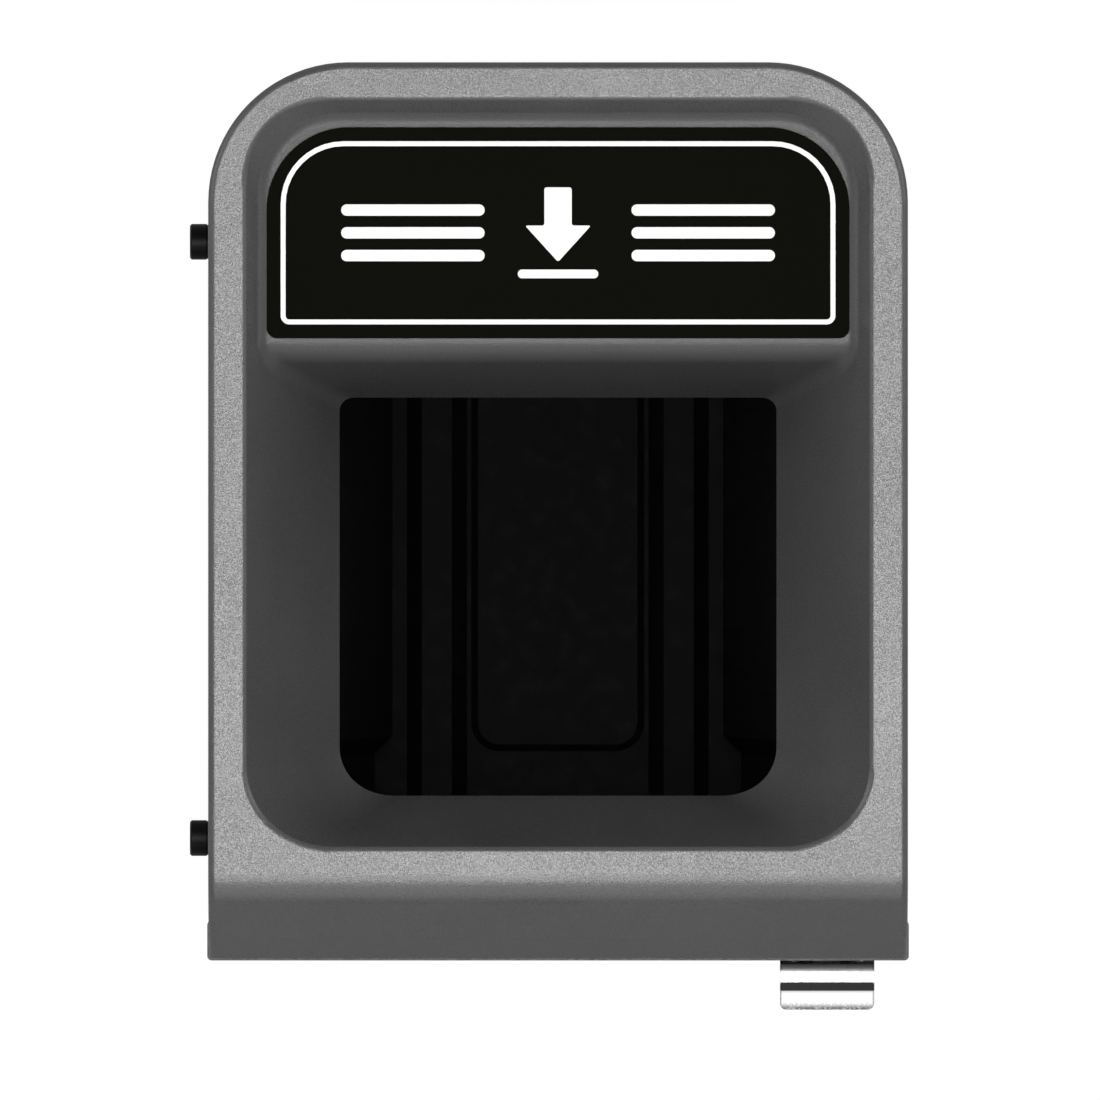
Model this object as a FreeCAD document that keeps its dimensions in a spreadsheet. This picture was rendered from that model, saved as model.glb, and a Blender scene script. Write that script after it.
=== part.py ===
"""Floor-standing waste container: sheet cabinet, moulded funnel lid, rigid liner, pedal-latched door."""
import FreeCAD
import Part
import math
import os
import re
import Sketcher

Vector = FreeCAD.Vector

# Driving sizes in millimetres and degrees, by group. The door is at the front, towards -Y.
SIZES = {
    # overall
    "cab_width": 400.0, "cab_depth": 514.0, "total_height": 940.0, "rear_radius": 80.0,
    # lid shell and the hooks that hold it on the cabinet
    "lid_skirt": 52.0, "lid_wall": 3.5, "lid_edge": 4.0, "nose_setback": 38.3, "nose_radius": 27.4,
    "crease_radius": 10.0, "lip_height": 24.6, "lip_run": 11.1, "lip_setback": 1.5, "lip_edge": 8.0,
    "hook_wide": 16.0, "hook_thick": 3.0, "hook_reach": 3.0, "hook_tall": 8.0,
    # funnel bowl and its mouth
    "rim_width": 21.0, "rim_edge": 4.0, "bowl_front": 65.0, "bowl_front_radius": 55.0, "bowl_depth": 80.0,
    "mouth_width": 250.6, "mouth_front": 94.3, "mouth_front_radius": 33.0,
    "mouth_rear": 191.4, "bowl_rear_run": 57.0, "bowl_fillet": 9.0,
    # label panel on its shelf in the bowl
    "shelf_drop": 14.0, "shelf_front": 168.0, "shelf_radius": 15.0, "label_thick": 1.2,
    "label_margin": 3.0, "label_rear_margin": 6.1, "label_front_margin": 10.2, "label_radius": 47.0,
    "label_corner": 6.0, "label_step": 3.0,
    # sheet-metal cabinet
    "sheet": 1.2, "lid_overhang": 1.0, "flange": 18.0, "jamb": 20.0, "bend": 2.4, "assembly_gap": 0.3,
    # base pan
    "foot_height": 12.0, "base_height": 46.0, "base_wall": 3.0, "base_floor": 4.0, "rail_height": 7.0,
    "rail_gap": 1.3, "sill_gap": 4.0,
    # cross rail over the liner
    "rail_drop": 6.0, "rail_tall": 25.0, "rail_deep": 20.0, "rail_sheet": 1.5,
    # liner
    "liner_wall": 3.0, "liner_gap": 8.0, "liner_width": 218.0, "liner_front": 84.0, "liner_rear": 64.0,
    "liner_lean": 40.0, "liner_radius": 12.0, "liner_rim": 10.0, "liner_lip": 12.0,
    "inset_deep": 11.0, "inset_front": 112.0, "inset_rear": 95.0, "inset_tall": 600.0,
    "rib_inner": 54.0, "rib_wide": 35.7, "rib_flank": 8.9, "rib_tall": 14.0,
    "panel_width": 102.8, "panel_front": 115.6, "panel_rear": 110.0, "panel_radius": 17.0,
    "panel_tall": 7.0, "panel_flank": 4.0,
    # door and its pressed inner panel
    "door_thick": 24.0, "door_gap": 3.0, "door_over": 1.0, "door_low": 58.0, "door_edge": 2.5,
    "door_corner": 4.0, "door_hem": 14.0, "bead_inset": 40.0, "bead_deep": 4.0, "bead_radius": 20.0,
    "bead_space": 36.0,
    # hinges
    "hinge_inset": 8.0, "pin_radius": 2.5, "pin_tall": 12.0, "run_gap": 0.05, "bush_wall": 1.9,
    "bush_flange": 1.2, "bush_rim": 1.6, "plate_thick": 3.0, "plate_width": 16.5, "plate_gap": 0.5,
    "plate_nose": 7.0, "bracket_drop": 30.0, "plate_deep": 30.0,
    # pedal and latch
    "pedal_reach": 38.0, "pedal_width": 56.0, "pedal_inset": 40.0, "pedal_sheet": 2.5, "pedal_corner": 4.0,
    "pedal_crown": 6.0, "pedal_droop": 8.0, "pedal_bend": 9.0, "pedal_flat": 4.0, "pedal_rise": 9.0,
    "pedal_top": 11.0, "tang_gap": 3.0, "shaft_back": 32.0, "shaft_height": 34.0, "shaft_radius": 4.0,
    "lever_width": 36.0, "lever_sheet": 2.0, "lever_rise": 10.0, "lever_drop": 8.0, "lever_tail": 24.0,
    "lever_tip": 8.0, "slot_gap": 2.5, "ear_sheet": 2.0, "ear_radius": 9.0, "shaft_end": 3.0,
    "stop_size": 10.0, "tooth_setback": 9.0, "tooth_thick": 4.0, "tooth_width": 16.0, "tooth_tip": 65.0,
    "tooth_ramp": 4.0, "tooth_foot": 14.0, "tooth_sheet": 2.5, "strike_sheet": 1.5, "strike_width": 48.0,
    "strike_room": 6.0, "strike_gap": 1.5,
    # return spring under the lever
    "leaf": 0.8, "leaf_width": 28.0, "leaf_bend": 4.0, "leaf_reach": 22.0, "leaf_curl": 4.0,
    # magnetic connectors on the left side
    "connector_radius": 10.3, "connector_reach": 12.4, "connector_drop": 120.0, "connector_rear": 101.7,
    "connector_front": 69.7, "magnet_radius": 7.4, "magnet_thick": 5.0, "magnet_sink": 0.4,
    # feet and door stops
    "foot_radius": 18.0, "foot_side": 65.0, "foot_rear": 62.0, "foot_front": 46.0,
    "bumper": 10.0, "bumper_inset": 52.0,
}

doc = FreeCAD.newDocument("waste_container")
sheet = doc.addObject("Spreadsheet::Sheet", "Sheet")
for row, (alias, size) in enumerate(SIZES.items(), start=1):
    sheet.set(f"A{row}", alias)
    sheet.set(f"B{row}", str(size))
    sheet.setAlias(f"B{row}", alias)
doc.recompute()

# Places that several pieces share, as formulas of the sheet's sizes.
HALF = "(cab_width / 2)"
REAR = "((cab_depth + pedal_reach) / 2)"
FRONT = "((pedal_reach - cab_depth) / 2)"
SKIRT = "(total_height - lid_skirt)"
DOOR_BACK = f"({FRONT} + door_thick)"
CAB_FRONT = f"({DOOR_BACK} + door_gap)"
CAB_HALF = f"({HALF} - lid_overhang)"
CAB_REAR = f"({REAR} - lid_overhang)"
CAB_RADIUS = "(rear_radius - lid_overhang)"
LIP = f"({FRONT} + lip_setback)"
BOWL_HALF = f"({HALF} - rim_width)"
BOWL_FLOOR = "(total_height - bowl_depth)"
SHELF = "(total_height - shelf_drop)"
BASE_LOW = "(foot_height + sheet)"
BASE_TOP = f"({BASE_LOW} + base_floor)"
DOOR_HALF = f"({HALF} + door_over)"
PLATE_HIGH = f"({SKIRT} - sheet - run_gap)"
DOOR_TOP = f"({PLATE_HIGH} - plate_thick - plate_gap - bush_flange)"
HINGE_X = f"(hinge_inset - {DOOR_HALF})"
HINGE_Y = f"({DOOR_BACK} - hinge_inset)"
SHAFT_Y = f"({CAB_FRONT} + shaft_back)"
PEDAL_X = f"({HALF} - pedal_inset)"
LEVER_TOP = "(shaft_height + lever_rise)"
TANG = f"({CAB_FRONT} - tang_gap - pedal_sheet / 2)"
EAR = "(lever_width / 2 + assembly_gap)"
LINER_LOW = f"({BASE_TOP} + assembly_gap)"
LINER_TOP = f"({BOWL_FLOOR} - liner_gap)"
TOOTH = f"({FRONT} + tooth_setback)"

parts = []


def bound(formula):
    """Turn a formula of plain size names into an expression on the sheet's cells."""
    return re.sub(r"\b([a-z]\w*)\b", r"Sheet.\1", str(formula))


def value(formula):
    """Work a formula out with the sheet's present sizes."""
    return float(sheet.evalExpression(bound(formula)))


def bind(item, **formulas):
    """Bind properties of a document object to formulas; a double underscore stands for a dot."""
    for name, formula in formulas.items():
        item.setExpression(name.replace("__", "."), bound(formula))


def keep(item, label):
    """Enter a finished object as a sub-part under its own name."""
    item.Label = label
    parts.append(item)
    return item


def outline(sketch, corners, closed=True):
    """Draw straight lines through corners given as (x, y) or, where they are rounded, (x, y, radius)."""
    points = [Vector(value(c[0]), value(c[1]), 0) for c in corners]
    count = len(points)
    leave, arrive, arcs = list(points), list(points), {}
    for i, corner in enumerate(corners):
        if len(corner) < 3:
            continue
        radius = value(corner[2])
        into = (points[i] - points[i - 1]).normalize()
        out = (points[(i + 1) % count] - points[i]).normalize()
        cross = into.x * out.y - into.y * out.x
        turn = math.atan2(cross, into.dot(out))
        cut = radius * math.tan(abs(turn) / 2)
        arrive[i], leave[i] = points[i] - into * cut, points[i] + out * cut
        side = 1 if turn > 0 else -1
        centre = arrive[i] + Vector(-into.y, into.x, 0) * radius * side
        first, last = (arrive[i], leave[i]) if turn > 0 else (leave[i], arrive[i])
        start = math.atan2(first.y - centre.y, first.x - centre.x)
        end = math.atan2(last.y - centre.y, last.x - centre.x)
        circle = Part.Circle(centre, Vector(0, 0, 1), radius)
        arcs[i] = (Part.ArcOfCircle(circle, start, end), turn > 0)
    rules, formulas = [], []
    marks, lines = [], []
    for i, corner in enumerate(corners):
        mark = sketch.addGeometry(Part.Point(points[i]), True)
        marks.append(mark)
        rules.append(Sketcher.Constraint("DistanceX", -1, 1, mark, 1, points[i].x))
        rules.append(Sketcher.Constraint("DistanceY", -1, 1, mark, 1, points[i].y))
        formulas += [corner[0], corner[1]]
    for i in range(count if closed else count - 1):
        lines.append(sketch.addGeometry(Part.LineSegment(leave[i], arrive[(i + 1) % count])))
    for i, corner in enumerate(corners):
        before = lines[i - 1] if closed or i > 0 else None
        after = lines[i] if i < len(lines) else None
        if i in arcs:
            geometry, left = arcs[i]
            arc = sketch.addGeometry(geometry)
            rules.append(Sketcher.Constraint("Radius", arc, value(corner[2])))
            formulas.append(corner[2])
            first, last = (1, 2) if left else (2, 1)
            rules.append(Sketcher.Constraint("Tangent", before, 2, arc, first))
            rules.append(Sketcher.Constraint("Tangent", arc, last, after, 1))
            rules.append(Sketcher.Constraint("PointOnObject", marks[i], 1, before))
            rules.append(Sketcher.Constraint("PointOnObject", marks[i], 1, after))
            formulas += [None] * 4
            continue
        for line, end in ((before, 2), (after, 1)):
            if line is not None:
                rules.append(Sketcher.Constraint("Coincident", line, end, marks[i], 1))
                formulas.append(None)
    settle(sketch, rules, formulas)


def discs(sketch, circles):
    """Draw circles given as (x, y, radius) formulas."""
    rules, formulas = [], []
    for x, y, radius in circles:
        centre = Vector(value(x), value(y), 0)
        ring = sketch.addGeometry(Part.Circle(centre, Vector(0, 0, 1), value(radius)))
        rules.append(Sketcher.Constraint("DistanceX", -1, 1, ring, 3, centre.x))
        rules.append(Sketcher.Constraint("DistanceY", -1, 1, ring, 3, centre.y))
        rules.append(Sketcher.Constraint("Radius", ring, value(radius)))
        formulas += [x, y, radius]
    settle(sketch, rules, formulas)


def settle(sketch, rules, formulas):
    """Add the constraints and bind those that hold a size."""
    placed = sketch.addConstraint(rules)
    for index, formula in zip(placed, formulas):
        if formula is not None:
            sketch.setExpression(f"Constraints[{index}]", bound(formula))


TURNS = {
    "XY": FreeCAD.Rotation(),
    "YZ": FreeCAD.Rotation(Vector(1, 1, 1), 120),
    "XZ": FreeCAD.Rotation(Vector(1, 0, 0), 90),
}
HEIGHT_OF = {"XY": "Placement__Base__z", "YZ": "Placement__Base__x", "XZ": "Placement__Base__y"}


def free_sketch(name, plane, height="0"):
    """Make a sketch that stands by itself, on a main plane moved along its axis."""
    sketch = doc.addObject("Sketcher::SketchObject", name)
    sketch.Placement = FreeCAD.Placement(Vector(), TURNS[plane])
    bind(sketch, **{HEIGHT_OF[plane]: height})
    return sketch


def plan(name, height, corners):
    """Outline in plan at a height."""
    sketch = free_sketch(name, "XY", height)
    outline(sketch, corners)
    return sketch


def prism(name, sketch, length, symmetric=False):
    """Extrude a free sketch along its normal."""
    item = doc.addObject("Part::Extrusion", name)
    item.Base = sketch
    item.DirMode = "Normal"
    item.Solid = True
    item.Symmetric = symmetric
    bind(item, LengthFwd=length)
    return item


def side_prism(name, corners, width, middle="0"):
    """Extrude a YZ profile evenly to both sides of a plane of constant X."""
    sketch = free_sketch(f"{name}_profile", "YZ", middle)
    outline(sketch, corners)
    return prism(name, sketch, width, symmetric=True)


def loft(name, *sections):
    """Ruled loft through plan outlines."""
    item = doc.addObject("Part::Loft", name)
    item.Sections = list(sections)
    item.Solid = True
    item.Ruled = True
    return item


def box(name, low, high):
    """Box between two corners given as formulas."""
    item = doc.addObject("Part::Box", name)
    bind(item, Length=f"({high[0]}) - ({low[0]})", Width=f"({high[1]}) - ({low[1]})",
         Height=f"({high[2]}) - ({low[2]})")
    bind(item, Placement__Base__x=low[0], Placement__Base__y=low[1], Placement__Base__z=low[2])
    return item


AIM = {"X": FreeCAD.Rotation(Vector(0, 1, 0), 90), "Y": FreeCAD.Rotation(Vector(1, 0, 0), -90),
       "Z": FreeCAD.Rotation()}


def rod(name, axis, start, radius, length):
    """Cylinder from a start point along an axis."""
    item = doc.addObject("Part::Cylinder", name)
    item.Placement = FreeCAD.Placement(Vector(), AIM[axis])
    bind(item, Radius=radius, Height=length)
    bind(item, Placement__Base__x=start[0], Placement__Base__y=start[1], Placement__Base__z=start[2])
    return item


def fuse(name, *items):
    """Join solids that meet into one."""
    item = doc.addObject("Part::MultiFuse", name)
    item.Shapes = list(items)
    return item


def cut(name, base, *tools):
    """Take tools away from a solid."""
    item = doc.addObject("Part::Cut", name)
    item.Base = base
    item.Tool = tools[0] if len(tools) == 1 else group(f"{name}_tools", *tools)
    return item


def common(name, first, second):
    """Keep what two solids share."""
    item = doc.addObject("Part::Common", name)
    item.Base = first
    item.Tool = second
    return item


def group(name, *items):
    """Hold several separate solids in one sub-part."""
    item = doc.addObject("Part::Compound", name)
    item.Links = list(items)
    return item


def round_edges(name, base, radius, wanted):
    """Fillet the edges of a solid that a test picks out."""
    doc.recompute()
    picked = [i for i, edge in enumerate(base.Shape.Edges, start=1) if wanted(edge)]
    if not picked:
        raise RuntimeError(f"{name}: no edge to round")
    size = value(radius)
    item = doc.addObject("Part::Fillet", name)
    item.Base = base
    item.Edges = [(i, size, size) for i in picked]
    doc.recompute()
    return item


def spots(edge):
    """Three points of an edge: its two ends and its middle."""
    first, last = edge.ParameterRange
    return [edge.valueAt(first), edge.valueAt((first + last) / 2), edge.valueAt(last)]


def near(number, formula, slack=0.05):
    """Tell whether a number is at a formula's value."""
    return abs(number - value(formula)) < slack


class Sheetwork:
    """A PartDesign body built from sketches on its own origin planes."""

    def __init__(self, label):
        self.body = doc.addObject("PartDesign::Body", label)
        self.label = label
        self.count = 0

    def sketch(self, plane, offset="0"):
        """Sketch on an origin plane, moved along its normal."""
        self.count += 1
        sketch = self.body.newObject("Sketcher::SketchObject", f"{self.label}_sketch{self.count}")
        flat = [f for f in self.body.Origin.OriginFeatures if f.Role == f"{plane}_Plane"][0]
        sketch.AttachmentSupport = [(flat, "")]
        sketch.MapMode = "FlatFace"
        sketch.setExpression("AttachmentOffset.Base.z", bound(offset))
        return sketch

    def feature(self, kind, sketch, length, reverse=False, both=False):
        """Pad or pocket a sketch and make sure that it changed the solid."""
        before = self.body.Shape.Volume if self.body.Tip else 0.0
        item = self.body.newObject(f"PartDesign::{kind}", f"{self.label}_{kind.lower()}{self.count}")
        item.Profile = sketch
        item.Reversed = reverse
        if both:
            item.SideType = "Symmetric"
        item.setExpression("Length", bound(length))
        doc.recompute()
        change = self.body.Shape.Volume - before
        if (change <= 0) == (kind == "Pad"):
            raise RuntimeError(f"{item.Name} changed the volume by {change:.3f}")
        return item

    def pad(self, plane, offset, corners, length, **how):
        """Pad an outline."""
        sketch = self.sketch(plane, offset)
        outline(sketch, corners)
        return self.feature("Pad", sketch, length, **how)

    def pocket(self, plane, offset, corners, length, **how):
        """Pocket an outline."""
        sketch = self.sketch(plane, offset)
        outline(sketch, corners)
        return self.feature("Pocket", sketch, length, **how)

    def drill(self, plane, offset, circles, length, **how):
        """Pocket round holes."""
        sketch = self.sketch(plane, offset)
        discs(sketch, circles)
        return self.feature("Pocket", sketch, length, **how)

    def done(self):
        """Enter the body as a sub-part."""
        return keep(self.body, self.label)


def rectangle(x0, x1, y0, y1, radius=None):
    """Corners of a rectangle, rounded alike where a radius is given."""
    more = (radius,) if radius else ()
    return [(x0, y0, *more), (x1, y0, *more), (x1, y1, *more), (x0, y1, *more)]


def frustum(name, low, high, rounds):
    """Flat-sided funnel between two rectangles (half, front, rear, z), its four upright edges rounded.

    The rounds give the radius below and above, first for the front edges and then for the rear ones.
    """
    item = doc.addObject("Part::Wedge", f"{name}_flat")
    item.Placement = FreeCAD.Placement(Vector(), FreeCAD.Rotation(Vector(1, 0, 0), 90))
    bind(item, Ymin=low[3], Ymax=high[3])
    bind(item, Xmin=f"-({low[0]})", Xmax=low[0], Zmin=f"-({low[2]})", Zmax=f"-({low[1]})")
    bind(item, X2min=f"-({high[0]})", X2max=high[0], Z2min=f"-({high[2]})", Z2max=f"-({high[1]})")
    doc.recompute()
    picked = []
    for i, edge in enumerate(item.Shape.Edges, start=1):
        first, last = edge.firstVertex().Point, edge.lastVertex().Point
        if abs(first.z - last.z) < 1:
            continue
        at_front = first.y < value(f"({low[1]} + {low[2]}) / 2")
        below, above = (value(r) for r in rounds[0 if at_front else 1])
        picked.append((i, below, above) if first.z < last.z else (i, above, below))
    rounded = doc.addObject("Part::Fillet", name)
    rounded.Base = item
    rounded.Edges = picked
    doc.recompute()
    return rounded


def u_plan(inset, front, rear_inset=None):
    """Plan of the cabinet, square in front and round behind, set in from its outer faces."""
    half, rear = f"{CAB_HALF} - {inset}", f"{CAB_REAR} - {rear_inset or inset}"
    radius = f"{CAB_RADIUS} - {inset}"
    return [(f"-({half})", front), (half, front), (half, rear, radius), (f"-({half})", rear, radius)]


def lid_hooks():
    """Snap hooks under the rim that catch below the cabinet's top flange, two at each side."""
    edge = f"({CAB_HALF} - flange - assembly_gap)"
    low = f"{SKIRT} - sheet - assembly_gap"
    hooks = []
    for side, sign in (("left", "-"), ("right", "")):
        for name, y in (("front", f"{CAB_FRONT} + flange * 3"),
                        ("rear", f"{REAR} - rear_radius - flange * 2")):
            sketch = free_sketch(f"hook_{name}_{side}_profile", "XZ", y)
            outline(sketch, [(f"{sign}({x})", z) for x, z in (
                (f"{edge} - hook_thick", "total_height - lid_wall / 2"),
                (f"{edge} - hook_thick", f"{low} - hook_tall"), (edge, f"{low} - hook_tall"),
                (f"{edge} + hook_reach", low), (edge, low),
                (edge, "total_height - lid_wall / 2"))])
            hooks.append(prism(f"hook_{name}_{side}", sketch, "hook_wide", symmetric=True))
    return hooks


def make_lid():
    """Moulded lid: a shell with a sloped nose and a lip over the door, its top let down into a funnel."""
    crease, edge_top = f"{SKIRT} + lip_height", f"{SKIRT} + lip_edge"
    beyond = f"{REAR} + lid_wall"

    def hollow(name, wall, low):
        half, front, rear = f"({HALF} - {wall})", f"{LIP} + {wall}", f"{REAR} - {wall}"
        radius = f"rear_radius - {wall}"
        outer = plan(f"{name}_plan", low, [
            (f"-{half}", front), (half, front), (half, rear, radius), (f"-{half}", rear, radius)])
        nose = side_prism(f"{name}_nose", [
            (beyond, low), (beyond, f"total_height - {wall}"),
            (f"{FRONT} + nose_setback + {wall}", f"total_height - {wall}", f"nose_radius - {wall}"),
            (f"{front} + lip_run", crease, f"crease_radius - {wall}"), (front, edge_top), (front, low)],
            "cab_width + 2 * lid_wall")
        return common(name, prism(f"{name}_prism", outer, "lid_skirt + lid_wall"), nose)

    def outer_edge(edge):
        marks = spots(edge)
        upright = abs(marks[0].z - marks[2].z) > 1 and abs(marks[0].y - marks[2].y) < 0.01
        side = all(near(abs(p.x), HALF) and p.z > value(edge_top) - 0.1 for p in marks)
        behind = all(near(p.z, "total_height") and p.y > 0 for p in marks)
        return (side or behind) and not upright

    block = round_edges("lid_outer", hollow("lid_block", "0", SKIRT), "lid_edge", outer_edge)
    shell = cut("lid_shell", block, hollow("lid_room", "lid_wall", f"{SKIRT} - lid_wall"))

    def bowl(name, wall, top, rim_radius):
        mouth = (f"mouth_width / 2 + {wall}", f"{FRONT} + mouth_front - {wall}",
                 f"{REAR} - rim_width - bowl_rear_run + {wall}", BOWL_FLOOR)
        rim = (f"{BOWL_HALF} + {wall}", f"{FRONT} + bowl_front - {wall}",
               f"{REAR} - rim_width + {wall}", top)
        behind = f"rear_radius - rim_width + {wall}"
        return frustum(name, mouth, rim, [(f"mouth_front_radius + {wall}", rim_radius), (behind, behind)])

    def shelf(name, wall):
        return side_prism(name, [
            (beyond, f"{SHELF} - {wall}"),
            (f"{REAR} - shelf_front + {wall}", f"{SHELF} - {wall}", f"shelf_radius - {wall}"),
            (f"{REAR} - mouth_rear + {wall}", BOWL_FLOOR), (beyond, BOWL_FLOOR)], "cab_width")

    form = bowl("bowl_form", "0", "total_height", "bowl_front_radius")
    air = cut("bowl_air_raw", form, shelf("shelf", "0"))

    def shelf_edge(edge):
        marks = spots(edge)
        top, low = max(p.z for p in marks), min(p.z for p in marks)
        beside = (top < value(SHELF) + 0.05 and top > value(BOWL_FLOOR) + 0.05 and abs(marks[1].x) > 1
                  and marks[1].y > value(f"{REAR} - mouth_rear"))
        behind = near(low, SHELF) and near(top, SHELF) and marks[1].y > value(f"{REAR} - shelf_front / 2")
        return beside or behind

    air = round_edges("bowl_air", air, "bowl_fillet", shelf_edge)
    skin = bowl("bowl_outer", "lid_wall", "total_height - lid_wall / 2", "mouth_front_radius + lid_wall")
    skin = cut("bowl_skin", skin, shelf("shelf_under", "lid_wall"))
    raw = cut("lid_raw", fuse("lid_fused", shell, skin, *lid_hooks()), air)

    def rim_edge(edge):
        marks = spots(edge)
        low, high = value(f"{FRONT} + bowl_front") - 1, value(f"{REAR} - rim_width") + 1
        return all(near(p.z, "total_height") and abs(p.x) < value(BOWL_HALF) + 1 and low < p.y < high
                   for p in marks)

    keep(round_edges("lid_final", raw, "rim_edge", rim_edge), "lid")


def make_label():
    """Thin plate that carries the label on the shelf, its underside stepped clear of the cove."""
    half = f"({BOWL_HALF} - shelf_drop * ({BOWL_HALF} - mouth_width / 2) / bowl_depth - label_margin)"
    rear = f"({REAR} - rim_width - shelf_drop * bowl_rear_run / bowl_depth - label_rear_margin)"
    front = f"({REAR} - shelf_front + label_front_margin)"
    plate = Sheetwork("label_panel")
    for low, step in ((f"{SHELF} + label_thick / 2", "0"), (SHELF, "label_step")):
        sides, behind, corner = f"({half} - {step})", f"{rear} - {step}", f"label_radius - {step}"
        plate.pad("XY", low, [
            (f"-{sides}", f"{front} + {step}", "label_corner"), (sides, f"{front} + {step}", "label_corner"),
            (sides, behind, corner), (f"-{sides}", behind, corner)], "label_thick / 2")
    plate.done()


def make_cabinet():
    """Folded sheet cabinet: a wrap with front returns and inward flanges at top and bottom."""
    shell = Sheetwork("cabinet_shell")
    jamb, inner, deep = f"({CAB_HALF} - jamb)", f"({CAB_HALF} - sheet)", f"{CAB_FRONT} + sheet"
    behind, radius = f"{CAB_REAR} - sheet", f"{CAB_RADIUS} - sheet"
    shell.pad("XY", "foot_height", [
        (f"-{jamb}", CAB_FRONT), (f"-{CAB_HALF}", CAB_FRONT, "bend"),
        (f"-{CAB_HALF}", CAB_REAR, CAB_RADIUS), (CAB_HALF, CAB_REAR, CAB_RADIUS),
        (CAB_HALF, CAB_FRONT, "bend"), (jamb, CAB_FRONT), (jamb, deep),
        (inner, deep), (inner, behind, radius), (f"-{inner}", behind, radius),
        (f"-{inner}", deep), (f"-{jamb}", deep)], f"{SKIRT} - foot_height")
    wall, edge = f"({CAB_HALF} - sheet / 2)", f"({CAB_HALF} - flange)"
    wall_rear, edge_rear = f"{CAB_REAR} - sheet / 2", f"{CAB_REAR} - flange"
    wall_radius, edge_radius = f"{CAB_RADIUS} - sheet / 2", f"{CAB_RADIUS} - flange"
    for low in ("foot_height", f"{SKIRT} - sheet"):
        shell.pad("XY", low, [
            (f"-{wall}", deep), (f"-{wall}", wall_rear, wall_radius), (wall, wall_rear, wall_radius),
            (wall, deep), (edge, deep), (edge, edge_rear, edge_radius),
            (f"-{edge}", edge_rear, edge_radius), (f"-{edge}", deep)], "sheet")
    plate_left = f"(sheet + assembly_gap - {CAB_HALF})"
    shell.pocket("XZ", f"sheet - {CAB_FRONT}", rectangle(
        f"{plate_left} - run_gap", f"{plate_left} + plate_width + jamb",
        f"{PLATE_HIGH} - plate_thick - run_gap", f"{PLATE_HIGH} + run_gap / 2"), "sheet * 2.5")
    shell.done()

    rail = Sheetwork("top_rail")
    half = f"({CAB_HALF} - sheet - assembly_gap)"
    front, top = f"{CAB_FRONT} + sheet + run_gap", f"{SKIRT} - rail_drop"
    rail.pad("YZ", "0", rectangle(front, f"{front} + rail_deep", f"{top} - rail_tall", top), f"2 * {half}",
             both=True)
    rail.pocket("YZ", "0", rectangle(f"{front} + rail_sheet", f"{front} + rail_deep + rail_sheet",
                                     f"{top} - rail_tall + rail_sheet", f"{top} - rail_sheet"),
                f"2 * {half} + rail_deep", both=True)
    rail.done()


def connector_places():
    """Places of the side connectors as (y, z)."""
    height = "total_height - connector_drop"
    return [(f"{REAR} - connector_rear", height), (f"{FRONT} + connector_front", height)]


def foot_places():
    """Plan places of the feet."""
    side = f"({HALF} - foot_side)"
    return [(f"{sign}{side}", y) for sign in ("", "-")
            for y in (f"{CAB_FRONT} + foot_front", f"{REAR} - foot_rear")]


def make_base():
    """Moulded base pan with a low sill for the liner, two guide rails and a slot for the pedal lever."""
    pan = Sheetwork("base_pan")
    seat = "(sheet + assembly_gap)"
    front = f"({CAB_FRONT} + {seat})"
    pan.pad("XY", BASE_LOW, u_plan(seat, front), "base_height")
    pan.pocket("XY", f"{BASE_LOW} + base_height", u_plan(f"({seat} + base_wall)", f"{front} + base_wall"),
               "base_height - base_floor")
    sill = "(liner_width / 2 + liner_wall + sill_gap)"
    over = f"{BASE_LOW} + base_height + base_wall"
    pan.pocket("XZ", f"base_wall - {front}", rectangle(f"-{sill}", sill, BASE_TOP, over), "base_wall * 2.5")
    slot = "(lever_width / 2 + slot_gap)"
    pan.pocket("XZ", f"base_wall - {front}", rectangle(
        f"{PEDAL_X} - {slot}", f"{PEDAL_X} + {slot}", f"{BASE_TOP} + slot_gap / 2",
        f"{LEVER_TOP} + slot_gap"),
        "base_wall * 2.5")
    low, slope = "(rib_inner + liner_wall + rail_gap)", "rib_flank * rail_height / rib_tall"
    high = "(rib_inner + rib_wide - liner_wall - rail_gap)"
    rear = f"{CAB_REAR} - rear_radius"
    for sign in ("", "-"):
        pan.pad("XZ", f"-({rear})", [
            (f"{sign}{low}", BASE_TOP), (f"{sign}{high}", BASE_TOP),
            (f"{sign}({high} - {slope})", f"{BASE_TOP} + rail_height"),
            (f"{sign}({low} + {slope})", f"{BASE_TOP} + rail_height")], f"{rear} - {front} - base_wall")
    pan.done()
    feet = [rod(f"foot{i}", "Z", (x, y, "0"), "foot_radius", BASE_LOW)
            for i, (x, y) in enumerate(foot_places())]
    keep(group("foot_set", *feet), "glide_feet")


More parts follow.
